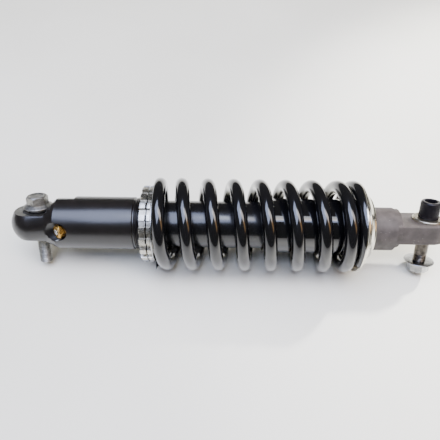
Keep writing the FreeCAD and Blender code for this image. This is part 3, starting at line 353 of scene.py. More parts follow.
def thread(low: float, high: float, pitch: float, depth: float, crest: float) -> Shape:
    """A shape that cuts a right-handed thread into a shank between two stations.

    The cut is depth times a clipped triangle wave of (along / pitch − θ / 2π), and it fades in and
    out over one pitch at either end.

    Args:
        low: the first station.
        high: the last station.
        pitch: the thread's pitch.
        depth: the depth of its grooves.
        crest: the shank's radius; other radii are left alone.

    Returns:
        The shape.
    """

    def cut(along: Array, radius: Array, theta: Array) -> tuple:
        """The new stations and radii.

        Args:
            along: the stations.
            radius: the radii.
            theta: the angles.

        Returns:
            The stations and the radii.
        """
        phase = (along / pitch - theta / TURN) % 1.0
        wave = np.clip(1.25 * (1 - np.abs(2 * phase - 1)) - 0.12, 0, 1)
        fade = np.clip((along - low) / pitch, 0, 1) * np.clip((high - along) / pitch, 0, 1)
        on_crest = np.abs(radius - crest) < 0.05
        return along, np.where(on_crest, radius - depth * wave * fade, radius)

    return cut


def castellated(teeth: int, rim: float, depth: float, wall_deg: float = 0.35) -> tuple:
    """Columns and a shape for a ring with equal teeth and slots round its rim.

    The rim's radius is rim at a tooth and rim − depth at a slot, joined by a smooth step of
    wall_deg; columns crowd at the walls.

    Args:
        teeth: the number of teeth.
        rim: the teeth's outer radius.
        depth: the depth of the slots.
        wall_deg: the angle that half of a wall takes up.

    Returns:
        The column angles and the shape.
    """
    period = TURN / teeth
    wall = math.radians(wall_deg)
    near = np.linspace(-wall, wall, 5)
    flat = np.linspace(wall * 1.6, period / 2 - wall * 1.6, 3)
    one = np.concatenate([near, flat, period / 2 + near, period / 2 + flat])
    thetas = (np.arange(teeth)[:, None] * period + one[None, :]).reshape(-1)

    def step(x: Array) -> Array:
        """A smooth step from 0 at −wall to 1 at +wall."""
        u = np.clip((x + wall) / (2 * wall), 0, 1)
        return u * u * (3 - 2 * u)

    def slots(along: Array, radius: Array, theta: Array) -> tuple:
        """The new stations and radii.

        Args:
            along: the stations.
            radius: the radii.
            theta: the angles.

        Returns:
            The stations and the radii.
        """
        local = (theta + wall * 2) % period - wall * 2
        tooth = step(local) - step(local - period / 2)
        limit = rim - depth * (1 - tooth)
        return along, np.minimum(radius, limit)

    return thetas, slots


def ring_corners(low: float, high: float, inner: float, outer: float, rounding: float) -> list:
    """The four corners of a ring's section, all rounded alike."""
    return [(low, inner, rounding), (low, outer, rounding), (high, outer, rounding), (high, inner, rounding)]


def carved_copy(name: str, node: str, end: Optional[float] = None) -> Piece:
    """A welded copy of a CAD node, if wanted cut off square to the damper and closed there.

    Args:
        name: the new piece's name.
        node: the CAD node.
        end: the station of the cut along the damper, in millimetres, or None to keep it all.

    Returns:
        The new piece, smooth except at its sharp edges.
    """
    mesh = frame["nodes"][node].data.copy()
    mesh.name = name
    mesh.materials.clear()
    work = bmesh.new()
    work.from_mesh(mesh)
    bmesh.ops.remove_doubles(work, verts=work.verts, dist=1e-6)
    if end is not None:
        whole = work.verts[:] + work.edges[:] + work.faces[:]
        plane = Vector(DAMPER.place(end, 0, 0))
        bmesh.ops.bisect_plane(
            work, geom=whole, dist=1e-7, plane_co=plane, plane_no=DAMPER_WAY, clear_outer=True)
        rim = [edge for edge in work.edges if edge.is_boundary]
        bmesh.ops.triangle_fill(work, edges=rim, use_beauty=True, normal=DAMPER_WAY)
    bmesh.ops.recalc_face_normals(work, faces=work.faces)
    work.to_mesh(mesh)
    work.free()
    mesh.shade_smooth()
    mesh.set_sharp_from_angle(angle=math.radians(24.0))
    piece = bpy.data.objects.new(name, mesh)
    bpy.context.scene.collection.objects.link(piece)
    return piece


def face_table(piece: Piece, field: str) -> Array:
    """One vector per face of a piece, such as its center or its normal.

    Args:
        piece: the piece.
        field: the name of the faces' property.

    Returns:
        An (n, 3) array.
    """
    flat = np.zeros(len(piece.data.polygons) * 3)
    piece.data.polygons.foreach_get(field, flat)
    return flat.reshape(-1, 3)


def two_tone(piece: Piece, first: bpy.types.Material, second: bpy.types.Material, chosen: Array) -> None:
    """Gives a piece one material and its chosen faces another.

    Args:
        piece: the piece.
        first: its main material.
        second: the material of the chosen faces.
        chosen: a truth value for each face.
    """
    piece.data.materials.append(first)
    piece.data.materials.append(second)
    piece.data.polygons.foreach_set("material_index", chosen.astype(np.int32))


def settle(piece: Piece, body: Body, slot: str, *nodes: str) -> None:
    """Lets a piece ride on its body and hides the CAD nodes it stands for.

    Args:
        piece: the piece.
        body: the body it rides on.
        slot: not used.
        nodes: the CAD nodes it stands for.
    """
    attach(piece, body.value)
    if nodes:
        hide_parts(*nodes)
    LOG.info("%s: %d faces, on %s", piece.name, len(piece.data.polygons), body.value)


# ------------------------------------------------------------------ materials


def linear(colour: str) -> tuple:
    """A hex sRGB colour as linear RGBA.

    Args:
        colour: a colour such as "#a0b0c0".

    Returns:
        Its four linear channels.
    """
    channels = [int(colour[i : i + 2], 16) / 255 for i in (1, 3, 5)]
    lit = [c / 12.92 if c <= 0.04045 else ((c + 0.055) / 1.055) ** 2.4 for c in channels]
    return (*lit, 1.0)


def add_node(
    tree: Tree, kind: str, settings: Optional[dict] = None, **inputs: object
) -> bpy.types.Node:
    """Adds a shader node, sets its properties and fills its inputs.

    Args:
        tree: the material's tree.
        kind: the node's type without "ShaderNode".
        settings: the node's own properties.
        inputs: sockets by name with "_" for a space, or "n" and an index; a socket value is linked,
            anything else is set.

    Returns:
        The node.
    """
    node = tree.nodes.new("ShaderNode" + kind)
    for key, value in (settings or {}).items():
        setattr(node, key, value)
    for key, value in inputs.items():
        label = key.replace("_", " ")
        numbered = label[0] == "n" and label[1:].isdigit()
        socket = node.inputs[int(label[1:]) if numbered else label]
        if isinstance(value, Socket):
            tree.links.new(value, socket)
        else:
            socket.default_value = value
    return node


def ramp(tree: Tree, source: Socket, stops: Sequence[tuple]) -> Socket:
    """A colour ramp over (position, hex colour) stops.

    Args:
        tree: the material's tree.
        source: the value that picks the colour.
        stops: the (position, colour) pairs.

    Returns:
        The colour's socket.
    """
    node = add_node(tree, "ValToRGB", None, Fac=source)
    elements = node.color_ramp.elements
    while len(elements) < len(stops):
        elements.new(0.5)
    for element, (position, colour) in zip(elements, stops):
        element.position = position
        element.color = linear(colour)
    return node.outputs["Color"]


def stretch(tree: Tree, source: Socket, low: float, high: float) -> Socket:
    """Maps a 0 to 1 value onto low to high."""
    node = add_node(tree, "MapRange", None, Value=source, To_Min=low, To_Max=high)
    return node.outputs["Result"]


@dataclass(frozen=True)
class Finish:
    """A real surface: its two tones, its gloss and the size of its marks in millimetres."""

    name: str
    dark: str
    light: str
    metallic: float = 0.0
    rough_low: float = 0.3
    rough_high: float = 0.4
    specular: float = 0.5
    coat: float = 0.0
    coat_rough: float = 0.05
    anisotropic: float = 0.0
    mottle_mm: float = 8.0
    grain_mm: float = 0.6
    grain_height_mm: float = 0.01
    turned_mm: float = 0.0
    turned_height_mm: float = 0.004
    fleck: str = ""
    fleck_share: float = 0.0

    def build(self, way: Array = DAMPER_WAY) -> bpy.types.Material:
        """Makes the material: mottled colour, uneven gloss, fine grain and turning marks.

        Colour mixes the two tones by a soft noise of mottle_mm. Roughness follows a second noise.
        The bump is a fine noise of grain_mm and, where turned_mm is set, ridges across way.

        Args:
            way: the direction that turning marks are stacked along.

        Returns:
            The material.
        """
        material = bpy.data.materials.new(self.name)
        material.use_nodes = True
        tree = material.node_tree
        shader = tree.nodes["Principled BSDF"]
        place = add_node(tree, "TexCoord").outputs["Object"]
        mottle = self.noise(tree, place, self.mottle_mm, 3.0)
        colour = ramp(tree, mottle, [(0.32, self.dark), (0.68, self.light)])
        if self.fleck:
            colour = self.flecked(tree, place, colour)
        tree.links.new(colour, shader.inputs["Base Color"])
        gloss = self.noise(tree, place, self.mottle_mm * 0.35, 5.0)
        tree.links.new(stretch(tree, gloss, self.rough_low, self.rough_high), shader.inputs["Roughness"])
        height = stretch(tree, self.noise(tree, place, self.grain_mm, 2.0), 0.0, self.grain_height_mm)
        if self.turned_mm:
            marks = self.turning(tree, place, way)
            height = add_node(tree, "Math", {"operation": "ADD"}, n0=height, n1=marks).outputs[0]
        bump = add_node(tree, "Bump", None, Height=height, Distance=MM, Strength=1.0)
        tree.links.new(bump.outputs["Normal"], shader.inputs["Normal"])
        shader.inputs["Metallic"].default_value = self.metallic
        shader.inputs["Specular IOR Level"].default_value = self.specular
        shader.inputs["Coat Weight"].default_value = self.coat
        shader.inputs["Coat Roughness"].default_value = self.coat_rough
        shader.inputs["Anisotropic"].default_value = self.anisotropic
        return material

    @staticmethod
    def noise(tree: Tree, place: Socket, size_mm: float, detail: float) -> Socket:
        """A noise whose largest blots are about size_mm across."""
        node = add_node(tree, "TexNoise", None, Vector=place, Scale=1.0 / (size_mm * MM), Detail=detail)
        return node.outputs["Fac"]

    def turning(self, tree: Tree, place: Socket, way: Array) -> Socket:
        """Ridges of turned_mm stacked along way, each height varied by a noise of the same coordinate.

        Args:
            tree: the material's tree.
            place: the coordinates.
            way: the direction that the ridges are stacked along.

        Returns:
            The height in millimetres.
        """
        scaled = tuple(float(c) / (self.turned_mm * MM) for c in way)
        station = add_node(tree, "VectorMath", {"operation": "DOT_PRODUCT"}, n0=place, n1=scaled)
        uneven = add_node(
            tree, "TexNoise", {"noise_dimensions": "1D"}, W=station.outputs["Value"], Scale=1.0, Detail=3.0)
        return stretch(tree, uneven.outputs["Fac"], 0.0, self.turned_height_mm)

    def flecked(self, tree: Tree, place: Socket, colour: Socket) -> Socket:
        """Small rare spots of the fleck colour, where a fine noise passes a high threshold.

        Args:
            tree: the material's tree.
            place: the coordinates.
            colour: the colour between the spots.

        Returns:
            The mixed colour.
        """
        spots = self.noise(tree, place, self.mottle_mm * 0.18, 2.0)
        edge = 0.5 + 0.5 * (0.5 - self.fleck_share)
        mask = add_node(tree, "MapRange", None, Value=spots, From_Min=edge, From_Max=edge + 0.03)
        mixed = add_node(
            tree, "Mix", {"data_type": "RGBA"}, n0=mask.outputs["Result"], n6=colour, n7=linear(self.fleck))
        return mixed.outputs[2]


# Bright-dipped, dyed and sealed aluminium: near black with a trace of the turning under it.
ANODISED = Finish("gloss_black_anodising", "#100e0e", "#161313", 0.0, 0.26, 0.32, 0.6, 0.2, 0.2,
                  turned_mm=0.5, turned_height_mm=0.0006, grain_height_mm=0.0004)
# Stoved powder on spring wire: deep black under a smooth skin with a slight orange peel.
POWDER = Finish("spring_powder_coat", "#08080a", "#0c0c0f", 0.0, 0.14, 0.2, 0.42, 0.85, 0.03,
                mottle_mm=20.0, grain_mm=2.6, grain_height_mm=0.006)
# Black enamel on the drawn steel tube, a little duller than the spring.
TUBE_ENAMEL = Finish("tube_enamel", "#0b0b0d", "#111114", 0.0, 0.2, 0.28, 0.5, 0.35, 0.14,
                     turned_mm=0.9, turned_height_mm=0.002, grain_height_mm=0.001)
# Moulded sleeve with a polished skin.
SLEEVE_GLOSS = Finish("sleeve_plastic", "#08080a", "#0c0c0f", 0.0, 0.08, 0.14, 0.5, 0.6, 0.03,
                      mottle_mm=30.0, grain_mm=4.0, grain_height_mm=0.003)
# Milled and turned aluminium under clear anodising, as on the two preload rings.
RING_ALLOY = Finish("machined_ring_alloy", "#b3afa4", "#dcdad2", 1.0, 0.2, 0.36,
                    mottle_mm=3.5, grain_mm=0.35, grain_height_mm=0.02, turned_mm=0.35,
                    turned_height_mm=0.008, fleck="#6b675d", fleck_share=0.12)
# The same alloy, rough where the slot cutter left it; its darker tones and dark flecks are painted shade in the
# slots.
SLOT_SHADE_ALLOY = Finish("slot_painted_shade_alloy", "#8f8b80", "#c4c0b4", 1.0, 0.3, 0.45, mottle_mm=2.2,
                    grain_mm=0.4, grain_height_mm=0.04, fleck="#3b372e", fleck_share=0.2)
# Turned aluminium with bright rings, as on the lower seat.
SEAT_ALLOY = Finish("turned_seat_alloy", "#c0bbac", "#e3e0d6", 1.0, 0.12, 0.24, anisotropic=0.3,
                    mottle_mm=9.0, grain_mm=0.4, grain_height_mm=0.006, turned_mm=0.4, turned_height_mm=0.012)
# Aluminium left bare by the mill: the flats of the upper lug.
MILLED_BARE = Finish("bare_milled_flat", "#77756f", "#9a9993", 1.0, 0.36, 0.52,
                     mottle_mm=4.0, grain_mm=0.5, grain_height_mm=0.03, fleck="#3c3a36", fleck_share=0.16)
# Dull zinc on the upper bolt, handled and slightly stained.
ZINC_DULL = Finish("dull_zinc_plating", "#8c8a84", "#b4b2ab", 1.0, 0.38, 0.56, mottle_mm=3.0,
                   grain_mm=0.4, grain_height_mm=0.018, fleck="#5d5a52", fleck_share=0.14)
# Bright blue-white zinc on the nut.
ZINC_BRIGHT = Finish("bright_zinc_plating", "#9fa0a4", "#c9c9c6", 1.0, 0.16, 0.3, mottle_mm=4.0,
                     grain_mm=0.5, grain_height_mm=0.01)
# Scuffed washer with straw-coloured stains in its zinc.
ZINC_WORN = Finish("worn_washer_zinc", "#a79c84", "#d2cec1", 1.0, 0.3, 0.5, mottle_mm=3.2,
                   grain_mm=0.5, grain_height_mm=0.02, fleck="#6a5a3c", fleck_share=0.2)
# Forged or cast lower mount under a thin dull black-brown coat.
FORGED = Finish("dull_coated_forging", "#423d3b", "#524c4a", 0.0, 0.5, 0.66, 0.4, mottle_mm=7.0,
                grain_mm=0.55, grain_height_mm=0.035, fleck="#8b8683", fleck_share=0.06)
# Black oxide on the socket head screw.
BLACK_OXIDE = Finish("black_oxide_steel", "#121015", "#1d1a20", 0.35, 0.26, 0.4, 0.5, mottle_mm=3.0,
                     grain_mm=0.35, grain_height_mm=0.008)
# Steel of the lower screw's shank, dark and oily.
SHANK_STEEL = Finish("oiled_shank_steel", "#3d3936", "#6b665f", 1.0, 0.24, 0.4, mottle_mm=4.0,
                     grain_mm=0.5, grain_height_mm=0.01, turned_mm=0.4, turned_height_mm=0.004)
# Turned brass of the fill plug.
BRASS = Finish("turned_brass", "#a9803a", "#cfa65a", 1.0, 0.2, 0.34, mottle_mm=3.0, grain_mm=0.3,
               grain_height_mm=0.008, turned_mm=0.3, turned_height_mm=0.006)
# Ground and hardened bearing steel.
BEARING_STEEL = Finish("ground_bearing_steel", "#8f9094", "#b4b5b7", 1.0, 0.14, 0.24,
                       mottle_mm=6.0, grain_mm=0.3, grain_height_mm=0.003)
# Hard chrome on the piston rod.
CHROME = Finish("hard_chrome", "#c3c4c7", "#dcdcdd", 1.0, 0.05, 0.1, mottle_mm=15.0, grain_mm=0.4,
                grain_height_mm=0.001, turned_mm=0.3, turned_height_mm=0.001)
# Nitrile rubber of the O-rings and lips.
NITRILE = Finish("nitrile_rubber", "#0f0f10", "#191919", 0.0, 0.5, 0.66, 0.35, mottle_mm=5.0,
                 grain_mm=0.4, grain_height_mm=0.02)
# Dusty moulded rubber of the bearing seals.
SEAL_RUBBER = Finish("dusty_seal_rubber", "#1c1c1c", "#2b2a29", 0.0, 0.55, 0.72, 0.35,
                     mottle_mm=4.0, grain_mm=0.4, grain_height_mm=0.025)
# Cellular polyurethane of the bump stop.
FOAM = Finish("cellular_polyurethane", "#b49a58", "#cdb778", 0.0, 0.7, 0.85, 0.3, mottle_mm=4.0,
              grain_mm=0.7, grain_height_mm=0.12, fleck="#7d6738", fleck_share=0.2)
# Sintered bronze bush.
BRONZE = Finish("sintered_bronze", "#6e5230", "#93703f", 1.0, 0.32, 0.48, mottle_mm=2.5,
                grain_mm=0.35, grain_height_mm=0.02, fleck="#3d2d19", fleck_share=0.16)
# Bronze-filled PTFE wear band.
BAND = Finish("filled_ptfe", "#3c2818", "#523621", 0.0, 0.4, 0.55, 0.35, mottle_mm=3.0, grain_mm=0.3,
              grain_height_mm=0.01)
# Plain turned aluminium inside the damper.
PLAIN_ALLOY = Finish("plain_turned_alloy", "#a9a9a6", "#c9c9c5", 1.0, 0.22, 0.34, mottle_mm=6.0,
                     grain_mm=0.4, grain_height_mm=0.006, turned_mm=0.35, turned_height_mm=0.008)


class Store:
    """Makes each finish once for each turning direction."""

    def __init__(self) -> None:
        """Starts with no materials."""
        self.made: dict = {}

    def get(self, finish: Finish, way: Array = DAMPER_WAY) -> bpy.types.Material:
        """The material of a finish whose turning marks stack along way.

        Args:
            finish: the finish.
            way: the direction of its turning marks.

        Returns:
            The material.
        """
        key = (finish.name, tuple(np.round(way, 4)))
        if key not in self.made:
            self.made[key] = finish.build(way)
        return self.made[key]


STORE = Store()


def dress(piece: Piece, finish: Finish, way: Array = DAMPER_WAY) -> None:
    """Gives a piece one finish all over."""
    material = STORE.get(finish, way)
    if piece.material_slots:
        for slot in piece.material_slots:
            slot.material = material
    else:
        piece.data.materials.append(material)


def turn_piece(
    name: str,
    seat: Seat,
    outline: Array,
    finish: Finish,
    body: Body,
    slot: str,
    *nodes: str,
    shape: Optional[Shape] = None,
) -> Piece:
    """Turns an outline, dresses it with marks stacked along its seat and settles it.

    Args:
        name: the piece's name.
        seat: the seat it is turned in.
        outline: an (n, 2) array of (along, radius).
        finish: its finish.
        body: the body it rides on.
        slot: its material slot.
        nodes: the CAD nodes it stands for.
        shape: an optional shape for lathe.

    Returns:
        The new piece.
    """
    piece = lathe(name, seat, outline, shape=shape)
    dress(piece, finish, seat.along)
    settle(piece, body, slot, *nodes)
    return piece


# ------------------------------------------------------------------ the damper's body


@dataclass
class DamperBody:
    """Anodised head and reservoir, tube, and the gas valve in its pocket."""

    cut: float = 40.0
    lug_half: float = 12.6
    eye_bare: float = 15.4
    bore: float = 18.0
    pocket_floor: float = 60.0
    rim: float = 24.7
    thread_start: float = 90.5
    thread_pitch: float = 1.5
    thread_depth: float = 0.85
    plug_hex: float = 11.5
    plug_height: float = 5.0
    port_tilt: float = 40.0
    screw_recess: float = 1.1

    def build(self) -> None:
        """Makes and dresses the body's pieces."""
        self.head()
        self.barrel()
        self.tube()
        self.valve()

    def head(self) -> None:
        """Lug, cone and shoulder as machined; the two flats and the eye are left bare."""
        piece = carved_copy("machined_head", "upper_body", self.cut)
        facing = np.abs(face_table(piece, "normal") @ BOLT_WAY) > 0.995
        local = UPPER_BOLT.read(face_table(piece, "center"))
        lug = np.abs(local[:, 0]) < self.lug_half
        eye = np.hypot(local[:, 1], local[:, 2]) < self.eye_bare
        two_tone(piece, STORE.get(ANODISED), STORE.get(MILLED_BARE, BOLT_WAY), (facing | eye) & lug)
        settle(piece, Body.DAMPER, "black_anodised", "upper_body")

    def barrel(self) -> None:
        """Plain barrel from the shoulder to the thread, with the helical preload thread."""
        body = measure("upper_body", DAMPER)
        ring = measure("lock_ring", DAMPER)
        outer = measure("damper_tube", DAMPER).outer
        crest = ring.inner - 0.05
        root = crest - self.thread_depth
        start, rim = self.thread_start, self.rim
        corners = [
            (self.cut, self.bore), (self.cut, rim), (start, rim, 0.5), (start + 0.4, root, 0.2),
            (start + 1.6, root, 0.2), (start + 2.0, crest), (body.high, crest, 0.6), (body.high, outer),
            (self.pocket_floor, outer), (self.pocket_floor, self.bore),
        ]
        outline = subdivide(soften(corners), 0.11, start + 2.0, body.high)
        cut = thread(start + 1.5, body.high, self.thread_pitch, self.thread_depth, crest)
        turn_piece("threaded_barrel", DAMPER, outline, ANODISED, Body.DAMPER, "black_anodised", shape=cut)

    def tube(self) -> None:
        """Enamelled tube with a small lead-in at its open end."""
        span = measure("damper_tube", DAMPER)
        outline = soften(ring_corners(span.low, span.high, self.bore, span.outer, 0.5))
        turn_piece("enamelled_tube", DAMPER, outline, TUBE_ENAMEL, Body.DAMPER, "tube_steel", "damper_tube")

    def valve(self) -> None:
        """Brass plug with a chamfered hexagon and the slotted screw in its middle."""
        seat = self.port()
        screw = measure("gas_valve_screw", seat)
        top = screw.low + self.plug_height
        half = self.plug_hex / 2
        corners = [
            (screw.low, screw.outer), (screw.low, half * HEX_CORNER), (top - 1.4, half * HEX_CORNER),
            (top - 0.1, half * 0.93, 0.1), (top - 0.1, screw.outer + 0.9, 0.1),
            (top - 0.5, screw.outer + 0.5, 0.1), (top - 0.5, screw.outer),
        ]
        outline = subdivide(soften(corners), 0.12, top - 1.5, top)
        flats = hexagon(self.plug_hex, screw.low - 1, top + 1)
        turn_piece("brass_fill_plug", seat, outline, BRASS, Body.DAMPER, "brass", "gas_valve_plug", shape=flats)
        recess = screw.high - self.screw_recess
        core = soften([
            (screw.low, 0), (screw.low, screw.outer), (screw.high, screw.outer, 0.3),
            (screw.high, 1.0, 0.15), (recess, 0.8, 0.1), (recess, 0),
        ])
        turn_piece("fill_screw", seat, core, ZINC_BRIGHT, Body.DAMPER, "zinc_steel", "gas_valve_screw")

    def port(self) -> Seat:
        """The gas port's seat: through the screw, leaning towards the upper eye.

        Returns:
            The seat, along the port and outwards.
        """
        lean = math.radians(self.port_tilt)
        out = -math.sin(lean) * DAMPER_WAY - math.cos(lean) * BACK_WAY
        return Seat(np.mean(node_points("gas_valve_screw"), axis=0), out, BOLT_WAY)


# ------------------------------------------------------------------ upper bearing and bolt


@dataclass
class UpperBearing:
    """Bolt, spacers and seals of the upper eye."""

    hex_across: float = 17.0
    flange_thickness: float = 2.6
    thread_pitch: float = 1.75
    thread_depth: float = 0.75
    thread_radius: float = 5.8
    shank: float = 6.0
    dish: float = 0.5
    seal_bore: float = 9.4
    seal_low: float = 8.9
    spacer_low: float = 7.2
    spacer_shank: float = 7.6
    spacer_step: float = 13.2

    def build(self) -> None:
        """Makes and dresses the bearing's visible pieces."""
        self.bolt()
        self.pair("rubber_bearing_seal", self.seal, SEAL_RUBBER, Body.DAMPER, "bearing_seal_rubber",
                  "bearing_seals")
        self.pair("flanged_spacer", self.spacer, ZINC_DULL, Body.UPPER_BALL, "zinc_steel", "bearing_spacers")

    def bolt(self) -> None:
        """Flanged bolt: dished hexagon head, conical flange, shank and rolled thread."""
        span = measure("upper_bolt", UPPER_BOLT)
        under = measure("bearing_spacers", UPPER_BOLT).high
        top, flange = span.high, under + self.flange_thickness
        half, crest, shank = self.hex_across / 2, self.thread_radius, self.shank
        thread_end = -under - 1.0
        corners = [
            (span.low, 0), (span.low, crest - 1.2, 0.3), (span.low + 1.2, crest, 0.2), (thread_end, crest),
            (thread_end, shank, 0.05), (under, shank, 0.3), (under, span.outer, 0.5),
            (under + 1.2, span.outer, 0.5), (flange, half * 1.2, 0.6), (flange + 0.3, half * HEX_CORNER, 0.3),
            (top - 1.5, half * HEX_CORNER), (top, half * 0.95, 0.3), (top, half * 0.72, 0.4),
            (top - self.dish, half * 0.6, 0.3), (top - self.dish, 0),
        ]
        outline = subdivide(soften(corners), 0.16, span.low, thread_end)
        outline = subdivide(outline, 0.12, top - 1.6, top)
        flats = hexagon(self.hex_across, flange + 0.15, top + 1)
        cut = thread(span.low, thread_end, self.thread_pitch, self.thread_depth, crest)
        turn_piece("flanged_hex_bolt", UPPER_BOLT, outline, ZINC_DULL, Body.UPPER_BOLT, "zinc_steel",
                   "upper_bolt", shape=lambda a, r, t: flats(*cut(a, r, t), t))

    def seal(self) -> list:
        """Section of the near seal: a raised bead round a shallow dished face.

        Returns:
            Corners of (station, radius, rounding).
        """
        span = measure("bearing_seals", UPPER_BOLT)
        low, high, bore = self.seal_low, span.high, self.seal_bore
        return [
            (low, bore), (low, span.outer), (high, span.outer, 0.3), (high, span.outer - 0.9, 0.3),
            (high - 0.5, span.outer - 1.5, 0.3), (high - 0.5, bore + 0.9, 0.3), (high, bore + 0.4, 0.3),
            (high, bore, 0.2),
        ]

    def spacer(self) -> list:
        """Section of the near spacer: shank through the seal and a chamfered flange."""
        span = measure("bearing_spacers", UPPER_BOLT)
        return [
            (self.spacer_low, span.inner), (self.spacer_low, self.spacer_shank, 0.3),
            (self.spacer_step, self.spacer_shank, 0.2), (self.spacer_step, span.outer, 0.4),
            (span.high, span.outer, 0.6), (span.high, span.inner),
        ]

    def pair(self, name: str, section: Callable, finish: Finish, body: Body, slot: str, node: str) -> None:
        """Turns a section on both sides of the eye.

        Args:
            name: the pieces' name.
            section: a method that gives the corners on the head's side.
            finish: their finish.
            body: the body that they ride on.
            slot: their material slot.
            node: the CAD node that the two stand for.
        """
        for sign, side in ((1.0, "near_head"), (-1.0, "near_tip")):
            outline = soften([(sign * station, *rest) for station, *rest in section()])
            stands_for = [node] if sign > 0 else []
            turn_piece(f"{name}_{side}", UPPER_BOLT, outline, finish, body, slot, *stands_for)


# ------------------------------------------------------------------ spring and preload rings


@dataclass
class SpringStack:
    """Lock ring, adjuster, thrust washer and the coil spring between its two faces."""

    teeth: int = 20
    slot_depth: float = 3.0
    mean_radius: float = 37.3
    wire: float = 12.5
    turns: float = 8.92
    first_angle: float = 246.5
    closed_pitch: float = 13.0
    tip_thickness: float = 2.8
    pitch_knots: tuple = (0.0, 0.7, 1.05, 7.32, 7.92, 8.92)
    pitch_shares: tuple = (0.0, 0.0, 1.0, 1.0, 0.0, 0.0)
    pitch_samples: int = 4001
    rows: int = 1100
    columns: int = 40
    stroke: float = 55.0

    def build(self) -> None:
        """Makes and dresses the stack."""
        self.ring("lock_ring", Body.LOCK)
        self.ring("adjuster_ring", Body.ADJUSTER)
        self.washer()
        self.spring()

    def ring(self, node: str, body: Body) -> None:
        """A ring with spanner slots, its edges broken, its faces turned and its slots painted darker as shade.

        Args:
            node: the CAD ring.
            body: the body it rides on.
        """
        span = measure(node, DAMPER)
        rim = span.outer
        if node == "adjuster_ring":
            washer = measure("thrust_washer", DAMPER)
            face, shoulder = washer.low, washer.inner - 0.05
            edge, bore_edge = 0.45, 0.3
            back = [(face, rim, 0.3), (face, shoulder, 0.1), (span.high, shoulder, 1.0)]
        else:
            face = span.high
            edge, bore_edge = 0.6, 0.5
            back = [(span.high, rim, 0.5)]
        corners = [
            (span.low, span.inner, bore_edge), (span.low, rim - 4.6, 0.2), (span.low + 0.25, rim - 4.2, 0.2),
            (span.low + 0.25, rim, edge), *back, (span.high, span.inner, bore_edge),
        ]
        thetas, slots = castellated(self.teeth, rim, self.slot_depth)
        piece = lathe(node + "_turned", DAMPER, soften(corners), thetas, slots)
        local = DAMPER.read(face_table(piece, "center"))
        radius = np.hypot(local[:, 1], local[:, 2])
        # Faces inside the spanner slots get the darker alloy, which is painted shade in the slots.
        cut = (radius > rim - self.slot_depth - 0.1) & (radius < rim - 0.7)
        cut &= (local[:, 0] > span.low + 0.3) & (local[:, 0] < face - 0.2)
        two_tone(piece, STORE.get(RING_ALLOY), STORE.get(SLOT_SHADE_ALLOY), cut)
        settle(piece, body, "ring_alloy", node)

    def washer(self) -> None:
        """Thin zinc washer between the adjuster and the spring."""
        span = measure("thrust_washer", DAMPER)
        outline = soften(ring_corners(span.low, span.high, span.inner, span.outer, 0.3))
        turn_piece("spring_thrust_washer", DAMPER, outline, ZINC_BRIGHT, Body.PRELOAD, "zinc_steel",
                   "thrust_washer")

    def rise(self, turn: Array, total: float) -> Array:
        """Height of the wire's middle after so many turns.

        The pitch is closed at both ends, open in the middle and linear in between over the knots;
        its running sum is the height, and the open pitch is the one that makes the total right.

        Args:
            turn: turns from the wire's start.
            total: the height after the last turn.

        Returns:
            The heights, in millimetres.
        """
        knots, share = np.array(self.pitch_knots), np.array(self.pitch_shares)
        open_turns = np.sum((share[1:] + share[:-1]) / 2 * np.diff(knots))
        gain = (total - self.closed_pitch * self.turns) / open_turns
        fine = np.linspace(0.0, self.turns, self.pitch_samples)
        pitch = self.closed_pitch + gain * np.interp(fine, knots, share)
        height = np.concatenate([[0.0], np.cumsum((pitch[1:] + pitch[:-1]) / 2 * np.diff(fine))])
        return np.interp(turn, fine, height)

    def spring(self) -> None:
        """Round wire on the helix, ground flat on both seats.

        A point is centre + (wire / 2)·(cos φ·outwards + sin φ·across), where across is square to
        the helix's tangent, and its station is then held between the two ground faces.
        """
        span = measure("coil_spring", DAMPER)
        low, high, wire = span.low, span.high, self.wire / 2
        first = low - wire + self.tip_thickness
        total = high - low + self.wire - 2 * self.tip_thickness
        turn = np.linspace(0.0, self.turns, self.rows)
        phi = np.linspace(0.0, TURN, self.columns, endpoint=False)
        angle = math.radians(self.first_angle) + TURN * turn
        station = first + self.rise(turn, total)
        climb = np.gradient(station, angle)
        outwards = np.stack([0 * angle, np.cos(angle), np.sin(angle)], -1)
        tangent = np.stack([climb, -self.mean_radius * np.sin(angle), self.mean_radius * np.cos(angle)], -1)
        tangent /= np.linalg.norm(tangent, axis=1, keepdims=True)
        across = np.cross(tangent, outwards)
        centre = outwards * self.mean_radius + station[:, None] * np.array([1.0, 0.0, 0.0])
        tube = centre[:, None] + wire * (
            np.cos(phi)[None, :, None] * outwards[:, None] + np.sin(phi)[None, :, None] * across[:, None])
        caps = [np.repeat(centre[i][None, None], len(phi), axis=1) for i in (0, -1)]
        whole = np.concatenate([caps[0], tube, caps[1]])
        points = DAMPER.place(np.clip(whole[..., 0], low, high), whole[..., 1], whole[..., 2])
        quads = grid_quads(len(whole), len(phi), False)
        piece = add_piece("powder_coated_spring", points.reshape(-1, 3), quads, 40.0)
        dress(piece, POWDER)
        settle(piece, Body.DAMPER, "black_powder_coat", "coil_spring")
        anchor = tuple(float(c) for c in DAMPER.place(low, 0, 0))
        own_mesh(piece)


# ------------------------------------------------------------------ lower end


